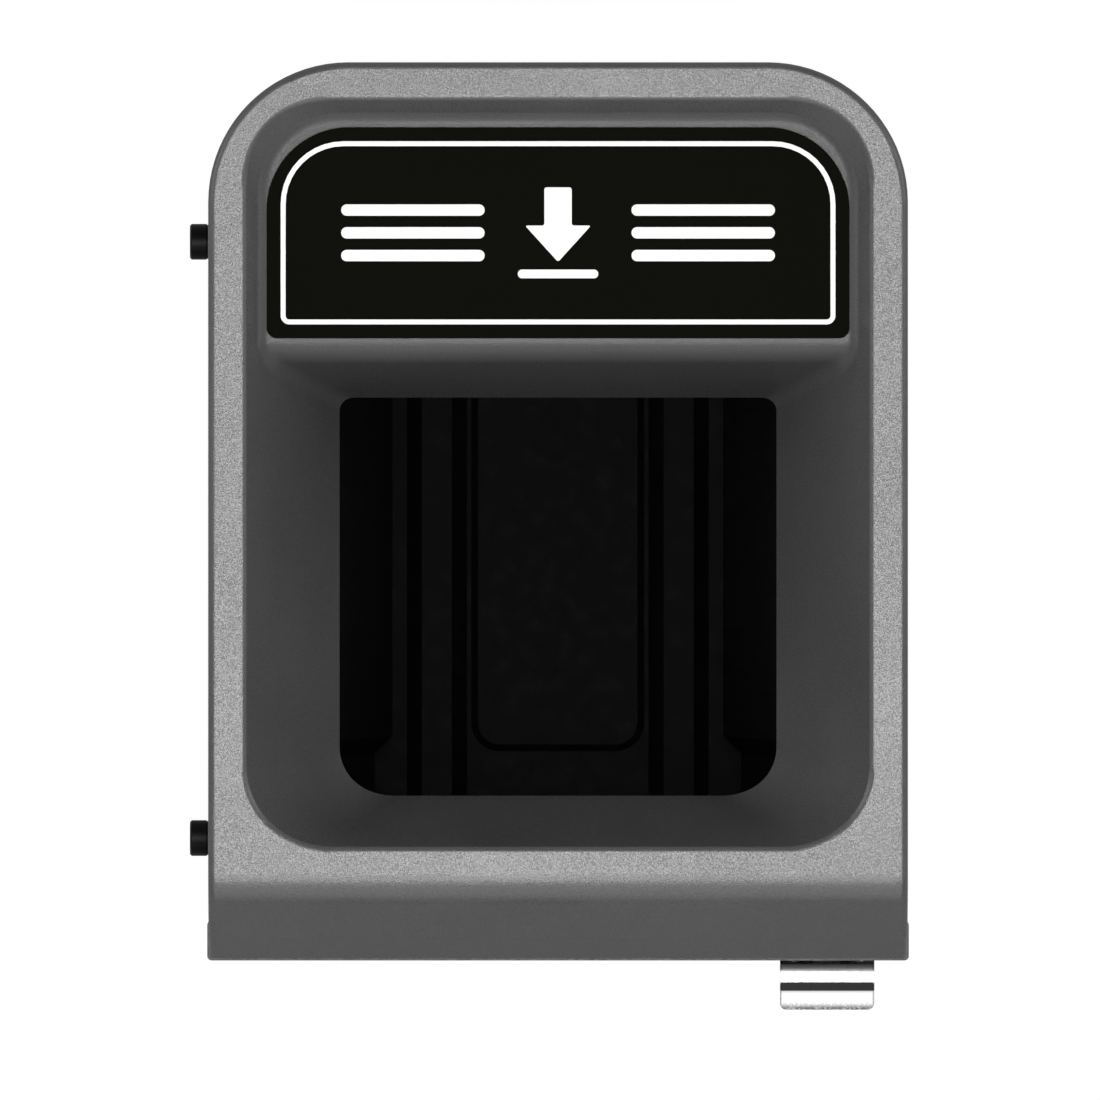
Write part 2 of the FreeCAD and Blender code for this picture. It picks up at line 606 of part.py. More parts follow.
def make_liner():
    """Rigid liner: a leaning bucket with side insets, ribs over the base rails and a raised floor panel."""
    width = "(liner_width / 2)"
    front, rear = f"({FRONT} + liner_front)", f"({REAR} - liner_rear)"

    def bucket(name, wall, low):
        def level(height, lean):
            more = f"{wall} + {lean}"
            return f"{width} + {more}", f"{front} - ({more})", f"{rear} + {more}", height
        corner = (f"liner_radius + {wall}",) * 2
        return frustum(name, level(low, "0"), level(LINER_TOP, "liner_lean"), [corner, corner])

    share = f"inset_tall / ({LINER_TOP} - {LINER_LOW})"

    def inset(name, sign, wall):
        edge, deep = f"({width} + liner_wall * 2)", f"({width} + liner_wall - inset_deep - {wall})"
        ahead, behind = f"{FRONT} + inset_front - {wall} * 1.4", f"{REAR} - inset_rear + {wall} * 1.4"
        run = f"({edge} - {deep})"
        block = prism(name, plan(f"{name}_plan", f"{LINER_LOW} - liner_wall", [
            (f"{sign}{edge}", ahead), (f"{sign}{deep}", f"{ahead} + {run}"),
            (f"{sign}{deep}", f"{behind} - {run}"), (f"{sign}{edge}", behind)]), "0")
        block.DirMode = "Custom"
        bind(block, Dir__x=f"{sign}liner_lean * {share}", Dir__y="0",
             Dir__z=f"inset_tall + liner_wall + {wall}")
        return block

    def rib(name, sign, wall, low):
        start, stop = f"(rib_inner + {wall})", f"(rib_inner + rib_wide - {wall})"
        sketch = free_sketch(f"{name}_profile", "XZ", "0")
        outline(sketch, [(f"{sign}{start}", low), (f"{sign}{stop}", low),
                         (f"{sign}({stop} - rib_flank)", f"{low} + rib_tall"),
                         (f"{sign}({start} + rib_flank)", f"{low} + rib_tall")])
        return prism(name, sketch, "cab_depth * 2", symmetric=True)

    def panel(name, wall, low, rounded):
        def level(label, height, inward):
            less = f"({wall} + {inward})"
            half = f"(panel_width / 2 - {less})"
            ahead, behind = f"{FRONT} + panel_front + {less}", f"{REAR} - panel_rear - {less}"
            radius = f"panel_radius - {inward}" if rounded else None
            return plan(f"{name}_{label}", height, rectangle(f"-{half}", half, ahead, behind, radius))
        return loft(name, level("low", low, "0"), level("high", f"{low} + panel_tall", "panel_flank"))

    floor = f"({LINER_LOW} + liner_wall)"
    signs = (("right", ""), ("left", "-"))
    body = cut("liner_body", bucket("liner_outer", "liner_wall", LINER_LOW),
               *[inset(f"inset_outer_{n}", g, "0") for n, g in signs],
               *[rib(f"groove_{n}", g, "liner_wall", LINER_LOW) for n, g in signs],
               panel("panel_under", "liner_wall", LINER_LOW, False))
    air = cut("liner_air", bucket("liner_inner", "0", floor),
              *[inset(f"inset_inner_{n}", g, "liner_wall") for n, g in signs],
              *[rib(f"rib_{n}", g, "0", floor) for n, g in signs], panel("panel_over", "0", floor, True))
    half = f"({width} + liner_wall + liner_lean + liner_rim)"
    ahead = f"{front} - liner_wall - liner_lean - liner_rim"
    behind = f"{rear} + liner_wall + liner_lean + liner_rim"
    radius = "liner_radius + liner_wall + liner_rim"
    low = f"{LINER_TOP} - liner_lip"
    rim_plan = plan("rim_plan", low, rectangle(f"-{half}", half, ahead, behind, radius))
    rim = prism("rim_block", rim_plan, "liner_lip")
    inner = f"({half} - liner_wall)"
    room = prism("rim_room", plan("rim_room_plan", low, rectangle(
        f"-{inner}", inner, f"{ahead} + liner_wall", f"{behind} - liner_wall", f"{radius} - liner_wall")),
        "liner_lip - liner_wall")
    keep(cut("liner_final", fuse("liner_fused", body, cut("rim_ring", rim, room)), air), "liner")


def bush(name, axis, start, radius, length, flange_first):
    """Flanged plain bearing for a pin of a given radius, along an axis from its start."""
    step = {"X": (1, 0, 0), "Y": (0, 1, 0), "Z": (0, 0, 1)}[axis]
    outer = f"({radius} + run_gap + bush_wall)"
    shift = "0" if flange_first else f"{length} - bush_flange"
    barrel = rod(f"{name}_barrel", axis, start, outer, length)
    flange = rod(f"{name}_flange", axis, [f"{a} + {b} * ({shift})" for a, b in zip(start, step)],
                 f"{outer} + bush_rim", "bush_flange")
    bore = rod(f"{name}_bore", axis, start, f"{radius} + run_gap", length)
    return cut(name, fuse(f"{name}_body", barrel, flange), bore)


def make_door():
    """Sheet-metal door with hemmed sides, a pressed inner panel, hinge bushes and a latch strike."""
    skin = Sheetwork("door_skin")
    outer = [(f"-{DOOR_HALF}", FRONT, "door_edge"), (DOOR_HALF, FRONT, "door_edge"),
             (DOOR_HALF, DOOR_BACK, "door_corner"), (f"-{DOOR_HALF}", DOOR_BACK, "door_corner")]
    skin.pad("XY", "door_low", outer, f"{DOOR_TOP} - door_low")
    half, hem = f"({DOOR_HALF} - sheet)", f"({DOOR_HALF} - door_hem)"
    front, back, beyond = f"{FRONT} + sheet", f"{DOOR_BACK} - sheet", f"{DOOR_BACK} + sheet"
    edge, corner = "door_edge - sheet", "door_corner - sheet"
    skin.pocket("XY", DOOR_TOP, [
        (f"-{half}", front, edge), (half, front, edge), (half, back, corner), (hem, back), (hem, beyond),
        (f"-{hem}", beyond), (f"-{hem}", back), (f"-{half}", back, corner)],
        f"{DOOR_TOP} - door_low - sheet")
    skin.pad("XY", f"{DOOR_TOP} - sheet", outer, "sheet")
    bore = "pin_radius + 2 * run_gap + bush_wall"
    skin.drill("XY", f"{DOOR_TOP} + sheet", [(HINGE_X, HINGE_Y, bore)],
               f"{DOOR_TOP} - door_low + sheet * 2")
    slot = "(tooth_width / 2 + strike_gap)"
    skin.pocket("XY", "door_low + sheet * 2", rectangle(
        f"{PEDAL_X} - {slot}", f"{PEDAL_X} + {slot}", f"{TOOTH} - strike_room",
        f"{TOOTH} + tooth_thick + assembly_gap * 2"), "sheet * 3")
    skin.done()

    panel = Sheetwork("door_inner_panel")
    side = f"({half} - assembly_gap - bend)"
    rear = f"({back} - run_gap)"
    low, high = "door_low + sheet + assembly_gap", f"{DOOR_TOP} - sheet - assembly_gap"
    panel.pad("XZ", f"-{rear}", rectangle(f"-{side}", side, low, high), "sheet")
    middle = f"(door_low + {DOOR_TOP}) / 2"
    fields = [(f"{low} + bead_inset", f"{middle} - bead_space / 2"),
              (f"{middle} + bead_space / 2", f"{high} - bead_inset")]
    field = f"({hem} - bead_inset / 2)"
    for bottom, top in fields:
        panel.pad("XZ", f"-{rear}", rectangle(f"-{field}", field, bottom, top), "sheet + bead_deep")
        panel.pocket("XZ", f"-{rear}", rectangle(
            f"sheet - {field}", f"{field} - sheet", f"{bottom} + sheet", f"{top} - sheet",
            "bead_radius - sheet"),
            "bead_deep", reverse=True)
    panel.done()

    bushes = [bush("bush_low", "Z", (HINGE_X, HINGE_Y, "door_low - bush_flange"), "pin_radius",
                   "pin_tall + bush_flange", True),
              bush("bush_high", "Z", (HINGE_X, HINGE_Y, f"{DOOR_TOP} - pin_tall"), "pin_radius",
                   "pin_tall + bush_flange", False)]
    keep(group("bush_set", *bushes), "hinge_bushings")

    strike = Sheetwork("strike_plate")
    level = "door_low + sheet + run_gap"
    strike.pad("XY", level, rectangle(f"{PEDAL_X} - strike_width / 2", f"{PEDAL_X} + strike_width / 2",
                                      f"{front} + run_gap", f"{rear} - sheet - run_gap"), "strike_sheet")
    strike.pocket("XY", f"{level} + strike_sheet + sheet", rectangle(
        f"{PEDAL_X} - {slot}", f"{PEDAL_X} + {slot}", f"{TOOTH} - strike_room",
        f"{TOOTH} + tooth_thick + assembly_gap * 2"), "strike_sheet + sheet * 2")
    strike.done()


def make_hinges():
    """Hinge plates on the cabinet, above and below the door, with the pins that they carry."""
    left = f"(sheet + assembly_gap - {CAB_HALF})"
    right = f"({left} + plate_width)"
    nose = f"{HINGE_Y} - plate_nose"
    hole = [(HINGE_X, HINGE_Y, "pin_radius + run_gap")]
    upper = Sheetwork("hinge_bracket_upper")
    upper.pad("XY", f"{PLATE_HIGH} - plate_thick", [
        (left, nose, "plate_nose / 2"), (right, nose, "plate_nose / 2"),
        (right, f"{CAB_FRONT} + plate_deep"), (left, f"{CAB_FRONT} + plate_deep")], "plate_thick")
    upper.drill("XY", f"{PLATE_HIGH} + sheet", hole, "plate_thick + sheet * 2")
    upper.done()
    top = "(door_low - bush_flange - plate_gap)"
    lower = Sheetwork("hinge_bracket_lower")
    seat = f"({CAB_FRONT} - run_gap)"
    lower.pad("XY", f"{top} - plate_thick", [
        (left, nose, "plate_nose / 2"), (right, nose, "plate_nose / 2"), (right, seat), (left, seat)],
        "plate_thick")
    lower.pad("XZ", f"-{seat}", rectangle(left, right, f"{top} - bracket_drop", f"{top} - plate_thick / 2"),
              "plate_thick")
    lower.drill("XY", f"{top} + sheet", hole, "plate_thick + sheet * 2")
    lower.done()
    pins = [rod("pin_low", "Z", (HINGE_X, HINGE_Y, f"{top} - plate_thick"), "pin_radius",
                "plate_thick + plate_gap + bush_flange + pin_tall"),
            rod("pin_high", "Z", (HINGE_X, HINGE_Y, f"{DOOR_TOP} - pin_tall"), "pin_radius",
                "plate_thick + plate_gap + bush_flange + pin_tall")]
    keep(group("pin_set", *pins), "hinge_pins")
    middle = f"{CAB_HALF} - jamb / 2"
    stops = [box(f"bumper_{name}", (f"{middle} - bumper / 2", f"{DOOR_BACK} + assembly_gap", z),
                 (f"{middle} + bumper / 2", CAB_FRONT, f"{z} + bumper * 2"))
             for name, z in (("low", "door_low + bumper_inset"),
                             ("high", f"{DOOR_TOP} - bumper_inset - bumper * 2"))]
    keep(group("bumper_set", *stops), "door_bumpers")


def formed_strip(name, path, thick, width):
    """Strip of even thickness bent along an open path of (y, z) formulas, centred on the pedal."""
    line = free_sketch(f"{name}_path", "YZ", PEDAL_X)
    outline(line, path, closed=False)
    band = doc.addObject("Part::Offset2D", f"{name}_band")
    band.Source = line
    band.Fill = True
    bind(band, Value=f"{thick} / 2")
    return prism(f"{name}_strip", band, width, symmetric=True)


def make_pedal():
    """Foot pedal: a formed plate on a channel lever that turns on a shaft and carries the latch tooth."""
    lever = Sheetwork("pedal_lever")
    tip, tail, low = f"{FRONT} + lever_sheet", f"{SHAFT_Y} + lever_tail", "shaft_height - lever_drop"
    lever.pad("YZ", PEDAL_X, [
        (tip, LEVER_TOP), (tip, f"{LEVER_TOP} - lever_tip"), (f"{SHAFT_Y} - ear_radius", low), (tail, low),
        (tail, LEVER_TOP)], "lever_width", both=True)
    lever.pocket("YZ", PEDAL_X, rectangle(
        f"{tip} - lever_sheet", f"{tail} + lever_sheet", f"{low} - lever_sheet",
        f"{LEVER_TOP} - lever_sheet"), "lever_width - 2 * lever_sheet", both=True)
    lever.drill("YZ", PEDAL_X, [(SHAFT_Y, "shaft_height", "shaft_radius + run_gap")],
                "lever_width + lever_sheet", both=True)
    lever.done()
    middle = f"{LEVER_TOP} + pedal_sheet / 2"
    crown, start = f"{middle} + pedal_crown", f"{FRONT} - pedal_flat"
    strip = formed_strip("pedal", [
        (TANG, middle), (start, middle, "pedal_bend"),
        (f"{start} - pedal_rise", crown, "pedal_bend"),
        (f"{start} - pedal_rise - pedal_top", crown, "pedal_bend"),
        (f"{FRONT} - pedal_reach + pedal_sheet / 2", f"{middle} - pedal_droop")],
        "pedal_sheet", "pedal_width")
    side, rear = "pedal_width / 2", f"{TANG} + pedal_sheet"
    tread = plan("pedal_tread", low, [
        (f"{PEDAL_X} - {side}", f"{FRONT} - pedal_reach", "pedal_corner"),
        (f"{PEDAL_X} + {side}", f"{FRONT} - pedal_reach", "pedal_corner"),
        (f"{PEDAL_X} + {side}", rear), (f"{PEDAL_X} - {side}", rear)])
    keep(common("pedal_formed", strip, prism("pedal_block", tread, "2 * shaft_height")), "pedal_plate")

    tooth = Sheetwork("latch_tooth")
    foot = f"{LEVER_TOP} + pedal_sheet"
    tooth.pad("YZ", PEDAL_X, [
        (TOOTH, foot), (f"{TOOTH} + tooth_foot", foot), (f"{TOOTH} + tooth_foot", f"{foot} + tooth_sheet"),
        (f"{TOOTH} + tooth_thick", f"{foot} + tooth_sheet"), (f"{TOOTH} + tooth_thick", "tooth_tip"),
        (f"{TOOTH} + tooth_thick / 2", "tooth_tip"), (TOOTH, "tooth_tip - tooth_ramp")],
        "tooth_width", both=True)
    tooth.done()

    bracket = Sheetwork("pedal_bracket")
    reach = "ear_radius + ear_sheet"
    bracket.pad("YZ", PEDAL_X, [
        (f"{SHAFT_Y} - {reach}", BASE_TOP), (f"{SHAFT_Y} + {reach}", BASE_TOP),
        (f"{SHAFT_Y} + ear_radius", "shaft_height + ear_radius / 2"),
        (f"{SHAFT_Y} + ear_radius / 2", "shaft_height + ear_radius"),
        (f"{SHAFT_Y} - ear_radius / 2", "shaft_height + ear_radius"),
        (f"{SHAFT_Y} - ear_radius", "shaft_height + ear_radius / 2")],
        f"2 * ({EAR} + ear_sheet)", both=True)
    bracket.pocket("YZ", PEDAL_X, rectangle(
        f"{SHAFT_Y} - {reach} - ear_sheet", f"{SHAFT_Y} + {reach} + ear_sheet", f"{BASE_TOP} + ear_sheet",
        "shaft_height + 2 * ear_radius"), f"2 * {EAR}", both=True)
    bracket.drill("YZ", PEDAL_X, [(SHAFT_Y, "shaft_height", "shaft_radius + run_gap")],
                  f"2 * ({EAR} + 2 * ear_sheet)", both=True)
    bracket.done()

    end = f"({EAR} + ear_sheet + shaft_end)"
    keep(rod("shaft", "X", (f"{PEDAL_X} - {end}", SHAFT_Y, "shaft_height"), "shaft_radius", f"2 * {end}"),
         "pedal_shaft")
    stop = f"{tail} - assembly_gap"
    keep(box("stop_block", (f"{PEDAL_X} - stop_size / 2", f"{stop} - stop_size", BASE_TOP),
             (f"{PEDAL_X} + stop_size / 2", stop, f"{LEVER_TOP} - lever_sheet - assembly_gap")),
         "pedal_stop")


def make_spring():
    """Leaf spring under the lever, fixed on the pedal bracket."""
    level = f"({BASE_TOP} + ear_sheet + leaf / 2)"
    crest = f"{LEVER_TOP} - lever_sheet - assembly_gap - leaf / 2"
    strip = formed_strip("spring", [
        (f"{SHAFT_Y} + ear_radius", level), (f"{SHAFT_Y} - ear_radius", level, "leaf_bend"),
        (f"{SHAFT_Y} - leaf_reach", crest, "leaf_bend"),
        (f"{SHAFT_Y} - leaf_reach - leaf_curl", f"{crest} - leaf_curl")], "leaf", "leaf_width")
    keep(strip, "pedal_spring")


def make_connectors():
    """Magnetic connectors on the left side: a cup seated on the cabinet wall, and its magnet."""
    cups, magnets = [], []
    outside = f"-{CAB_HALF} - connector_reach"
    for i, (y, z) in enumerate(connector_places()):
        cup = rod(f"cup_round{i}", "X", (outside, y, z), "connector_radius", "connector_reach")
        seat = rod(f"cup_seat{i}", "X", (outside, y, z), "magnet_radius + run_gap",
                   "magnet_sink + magnet_thick")
        cups.append(cut(f"cup{i}", cup, seat))
        magnets.append(rod(f"magnet{i}", "X", (f"{outside} + magnet_sink", y, z), "magnet_radius",
                           "magnet_thick"))
    keep(group("cup_set", *cups), "connector_housings")
    keep(group("magnet_set", *magnets), "connector_magnets")


make_lid()
make_label()
make_cabinet()
make_base()
make_liner()
make_door()
make_hinges()
make_pedal()
make_spring()
make_connectors()


def write_parts():
    """Check the whole document and write one file for each sub-part."""
    doc.recompute()
    for item in doc.Objects:
        if "Invalid" in item.State or "Error" in item.State:
            raise RuntimeError(f"{item.Name} failed: {item.State}")
    for item in parts:
        shape = item.Shape
        if shape.isNull() or not shape.isValid():
            raise RuntimeError(f"{item.Label} has no valid shape")
    os.makedirs("parts", exist_ok=True)
    for item in parts:
        item.Shape.exportStep(f"parts/{item.Label}.step")
        box_of = item.Shape.optimalBoundingBox(False)
        print(f"{item.Label}: {len(item.Shape.Solids)} solid(s), {item.Shape.Volume / 1000:.1f} cm3, "
              f"x {box_of.XMin:.1f}..{box_of.XMax:.1f} y {box_of.YMin:.1f}..{box_of.YMax:.1f} "
              f"z {box_of.ZMin:.1f}..{box_of.ZMax:.1f}")


write_parts()
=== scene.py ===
"""Dresses the waste container: a tall cabinet with a funnel lid, a front door and a foot pedal."""
import logging
import math
from dataclasses import dataclass
from enum import Enum
from functools import cache

import bmesh
import bpy
from mathutils import Matrix, Vector


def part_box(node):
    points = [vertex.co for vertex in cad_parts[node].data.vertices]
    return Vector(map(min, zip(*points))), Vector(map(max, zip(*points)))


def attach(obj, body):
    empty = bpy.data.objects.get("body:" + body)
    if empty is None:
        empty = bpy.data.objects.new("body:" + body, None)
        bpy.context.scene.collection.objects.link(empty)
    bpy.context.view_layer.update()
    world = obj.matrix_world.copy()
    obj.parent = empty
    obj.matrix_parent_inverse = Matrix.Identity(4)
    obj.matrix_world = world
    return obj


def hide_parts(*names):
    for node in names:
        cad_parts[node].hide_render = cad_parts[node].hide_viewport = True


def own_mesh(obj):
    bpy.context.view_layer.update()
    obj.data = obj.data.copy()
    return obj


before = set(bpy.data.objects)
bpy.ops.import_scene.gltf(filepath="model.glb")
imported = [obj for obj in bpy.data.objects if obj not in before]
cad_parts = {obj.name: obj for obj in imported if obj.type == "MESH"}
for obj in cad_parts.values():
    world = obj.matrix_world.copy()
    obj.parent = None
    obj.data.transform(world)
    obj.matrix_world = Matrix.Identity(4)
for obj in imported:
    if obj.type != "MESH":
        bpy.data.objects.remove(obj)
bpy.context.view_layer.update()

LOG = logging.getLogger("waste_container")
MM = 0.001
NOISE = (0.3, 0.7)  # range that a noise keeps within
SHARP_ANGLE = 32.0  # degrees, beyond which an edge is shaded sharp
FLAT_ANGLE = 0.5  # degrees, within which neighbouring faces of a node count as one
WELD = 1e-6  # metres, within which points of a node count as one
SEAM = 1e-7  # metres, within which the ends of a turned shape join

Pair = tuple[float, float]
Triple = tuple[float, float, float]
Profile = list[Pair]
Socket = bpy.types.NodeSocket
Shape = bmesh.types.BMesh


def grey(level: float) -> Triple:
    """Gives the neutral colour of a level."""
    return (level, level, level)


class Surface(Enum):
    """Material slots of the record that the pieces take their finish from."""

    LID = "lid_plastic"
    LABEL = "label_plastic"
    COATED = "coated_steel"
    ZINC = "bare_steel"
    BLACK = "black_plastic"
    FOOT = "foot_plastic"
    RUBBER = "bumper_rubber"
    CONNECTOR = "connector_plastic"
    MAGNET = "magnet_metal"
    BUSH = "bush_plastic"
    CHROME = "chrome_steel"


class Body(Enum):
    """Bodies of the frame that the pieces ride on."""

    CABINET = "cabinet"
    DOOR = "door"
    PEDAL = "pedal"


class Head(Enum):
    """Kinds of fastener head."""

    PAN = "pan"
    RIVET = "rivet"


class Graph:
    """Writes the node tree of a material or of the world."""

    def __init__(self, owner: bpy.types.Material | bpy.types.World) -> None:
        """Empties the owner's tree.

        Args:
            owner: material or world whose tree is written.
        """
        owner.use_nodes = True
        self.owner = owner
        self.tree = owner.node_tree
        self.tree.nodes.clear()
        self.coordinates = self.add("ShaderNodeTexCoord").outputs
        self.place: Socket = self.coordinates["Object"]

    def add(self, kind: str, sockets: dict | None = None, **settings: object) -> bpy.types.Node:
        """Adds a node.

        Args:
            kind: type name of the node.
            sockets: values or linked sockets by input name or index.
            settings: attributes of the node.

        Returns:
            The new node.
        """
        node = self.tree.nodes.new(kind)
        for key, value in settings.items():
            setattr(node, key, value)
        for key, value in (sockets or {}).items():
            if isinstance(value, Socket):
                self.tree.links.new(value, node.inputs[key])
            else:
                node.inputs[key].default_value = value
        return node

    def stretched(self, scale: Triple) -> Socket:
        """Gives the object's coordinates scaled along each axis.

        Args:
            scale: factor along x, y and z.

        Returns:
            The scaled coordinates.
        """
        return self.add("ShaderNodeMapping", {"Vector": self.place, "Scale": scale}).outputs["Vector"]

    def noise(self, scale: float, detail: float = 2.0, place: Socket | None = None) -> Socket:
        """Gives a soft noise.

        Args:
            scale: lumps per metre.
            detail: octaves of finer noise on it.
            place: coordinates to read, the object's own if left out.

        Returns:
            The noise, about 0.3 to 0.7.
        """
        sockets = {"Vector": place or self.place, "Scale": scale, "Detail": detail, "Roughness": 0.55}
        return self.add("ShaderNodeTexNoise", sockets).outputs["Fac"]

    def crystals(self, scale: float) -> Socket:
        """Gives a flat random level for each crystal of a plated sheet.

        Args:
            scale: crystals per metre.

        Returns:
            The level, 0 to 1.
        """
        cells = self.add("ShaderNodeTexVoronoi", {"Vector": self.place, "Scale": scale})
        return self.add("ShaderNodeRGBToBW", {"Color": cells.outputs["Color"]}).outputs["Val"]

    def span(self, value: Socket, start: float, stop: float, low: float, high: float) -> Socket:
        """Maps one range of a value onto another and holds it there.

        Args:
            value: what is mapped.
            start: value that becomes low.
            stop: value that becomes high.
            low: level given at start.
            high: level given at stop.

        Returns:
            The mapped value.
        """
        sockets = {"Value": value, "From Min": start, "From Max": stop, "To Min": low, "To Max": high}
        return self.add("ShaderNodeMapRange", sockets).outputs["Result"]

    def mixed(self, share: Socket, first: Triple | Socket, second: Triple) -> Socket:
        """Mixes two colours.

        Args:
            share: share of the second colour.
            first: colour at 0.
            second: colour at 1.

        Returns:
            The mixed colour.
        """
        # The node has inputs and outputs for each kind of value, and these are the numbers of the colours.
        sockets = {0: share, 6: first if isinstance(first, Socket) else (*first, 1.0), 7: (*second, 1.0)}
        return self.add("ShaderNodeMix", sockets, data_type="RGBA").outputs[2]

    def sum(self, first: Socket, weight: float, second: Socket) -> Socket:
        """Adds a weighted value to another.

        Args:
            first: value that is weighted.
            weight: its weight.
            second: value that it is added to.

        Returns:
            The sum.
        """
        sockets = {0: first, 1: weight, 2: second}
        return self.add("ShaderNodeMath", sockets, operation="MULTIPLY_ADD").outputs[0]

    def math(self, operation: str, first: Socket | float, second: Socket | float) -> Socket:
        """Works out one operation.

        Args:
            operation: its name.
            first: first value.
            second: second value.

        Returns:
            The result.
        """
        return self.add("ShaderNodeMath", {0: first, 1: second}, operation=operation).outputs[0]

    def upward(self, direction: Socket) -> Socket:
        """Gives how far a direction points up, from -1 to 1."""
        return self.add("ShaderNodeSeparateXYZ", {"Vector": direction}).outputs["Z"]

    def bump(self, height: Socket, depth: float) -> Socket:
        """Raises the surface by a height.

        Args:
            height: the height, 0 to 1.
            depth: metres of relief at a height of 1.

        Returns:
            The bent normal.
        """
        sockets = {"Height": height, "Strength": 1.0, "Distance": depth}
        return self.add("ShaderNodeBump", sockets).outputs["Normal"]

    def done(self, sockets: dict) -> bpy.types.Material:
        """Closes the tree with its surface shader.

        Args:
            sockets: values or linked sockets of the surface shader.

        Returns:
            The finished material.
        """
        shader = self.add("ShaderNodeBsdfPrincipled", sockets)
        self.add("ShaderNodeOutputMaterial", {"Surface": shader.outputs["BSDF"]})
        return self.owner


@dataclass(frozen=True)
class Zone:
    """The part of a piece behind one line and below one level, with soft borders."""

    behind: float
    below: float
    run: float
    drop: float

    def share(self, graph: Graph) -> Socket:
        """Tells the zone from the rest of the piece.

        Args:
            graph: tree of the material.

        Returns:
            1 inside the zone and 0 outside it.
        """
        place = graph.add("ShaderNodeSeparateXYZ", {"Vector": graph.place}).outputs
        inward = graph.span(place["Y"], self.behind - self.run, self.behind, 0.0, 1.0)
        under = graph.span(place["Z"], self.below, self.below + self.drop, 1.0, 0.0)
        return graph.math("MULTIPLY", inward, under)


@dataclass(frozen=True)
class GrainedFinish:
    """Moulded plastic, film or rubber: a fine grain over a slow random tone, matt in places, and darker in
    places by painted shade.
    """

    name: str
    light: Triple
    dark: Triple
    roughness: float
    specular: float
    grain: float
    depth: float
    sparkle: float = 0.0
    flakes: float = 1.7
    slow: float = 9.0
    slow_weight: float = 0.6
    stretch: Triple = (1.0, 1.0, 1.0)
    tone: Pair = (0.55, 1.05)
    gloss: Pair = (-0.04, 0.05)
    matt: Zone | None = None
    matt_specular: float = 0.3
    # Painted shade: the zone where the colour is darkened, and the darker colour that stands in for shade
    # there.
    painted_shade_zone: Zone | None = None
    painted_shade_colour: Triple = grey(0.036)

    def build(self) -> bpy.types.Material:
        """Makes the material.

        Returns:
            The material.
        """
        graph = Graph(bpy.data.materials.new(self.name))
        fine = graph.noise(self.grain, 2.0, graph.stretched(self.stretch))
        slow = graph.noise(self.slow, 3.0)
        share = graph.sum(slow, self.slow_weight, fine)
        gloss = graph.span(slow, *NOISE, self.roughness + self.gloss[0], self.roughness + self.gloss[1])
        if self.sparkle:
            flakes = graph.noise(self.flakes * self.grain, 0.0)
            gloss = graph.math("ADD", gloss, graph.span(flakes, *NOISE, -self.sparkle, self.sparkle))
        colour = graph.mixed(graph.span(share, *self.tone, 0.0, 1.0), self.dark, self.light)
        # Painted shade: the bowl is darkened towards the mouth and below a level, standing in for the shade
        # deep in the funnel; it goes by position, so the lid's outer skirt behind the same line is darkened
        # as well.
        if self.painted_shade_zone:
            colour = graph.mixed(self.painted_shade_zone.share(graph), colour, self.painted_shade_colour)
        mirror: Socket | float = self.specular
        # The export leaves out a specular level that is linked, so the matt zone shows only in renders.
        if self.matt:
            mirror = graph.span(self.matt.share(graph), 0.0, 1.0, self.specular, self.matt_specular)
        return graph.done({
            "Base Color": colour,
            "Roughness": gloss,
            "Specular IOR Level": mirror,
            "Normal": graph.bump(fine, self.depth),
        })


@dataclass(frozen=True)
class CoatedFinish:
    """Powder coat on sheet steel: orange peel, faint upright wipe marks, and scuffs low down."""

    name: str
    light: Triple
    dark: Triple
    mark_colour: Triple
    roughness: float
    specular: float
    peel: float
    depth: float
    kick: float
    specks: float = 3.0
    speck_weight: float = 0.7
    wipe_stretch: Triple = (34.0, 34.0, 3.0)
    wipe_weight: float = 0.5
    tone: Pair = (0.75, 1.45)
    gloss: float = 0.08
    mark_stretch: Triple = (46.0, 46.0, 150.0)
    mark_gain: float = 0.34
    mark_range: Pair = (0.78, 0.90)
    mark_share: float = 0.55

    def build(self) -> bpy.types.Material:
        """Makes the material.

        Returns:
            The material.
        """
        graph = Graph(bpy.data.materials.new(self.name))
        peel = graph.noise(self.peel, 1.0)
        wipes = graph.noise(1.0, 4.0, graph.stretched(self.wipe_stretch))
        specks = graph.noise(self.specks * self.peel, 0.0)
        share = graph.sum(wipes, self.wipe_weight, graph.sum(specks, self.speck_weight, peel))
        marks = graph.noise(1.0, 5.0, graph.stretched(self.mark_stretch))
        low = graph.span(graph.upward(graph.place), 0.0, self.kick, self.mark_gain, 0.0)
        scuffs = graph.span(graph.math("ADD", marks, low), *self.mark_range, 0.0, self.mark_share)
        plain = graph.mixed(graph.span(share, *self.tone, 0.0, 1.0), self.dark, self.light)
        dull, bright = self.roughness + self.gloss, self.roughness - self.gloss
        return graph.done({
            "Base Color": graph.mixed(scuffs, plain, self.mark_colour),
            "Roughness": graph.span(share, *self.tone, dull, bright),
            "Specular IOR Level": self.specular,
            "Normal": graph.bump(peel, self.depth),
        })


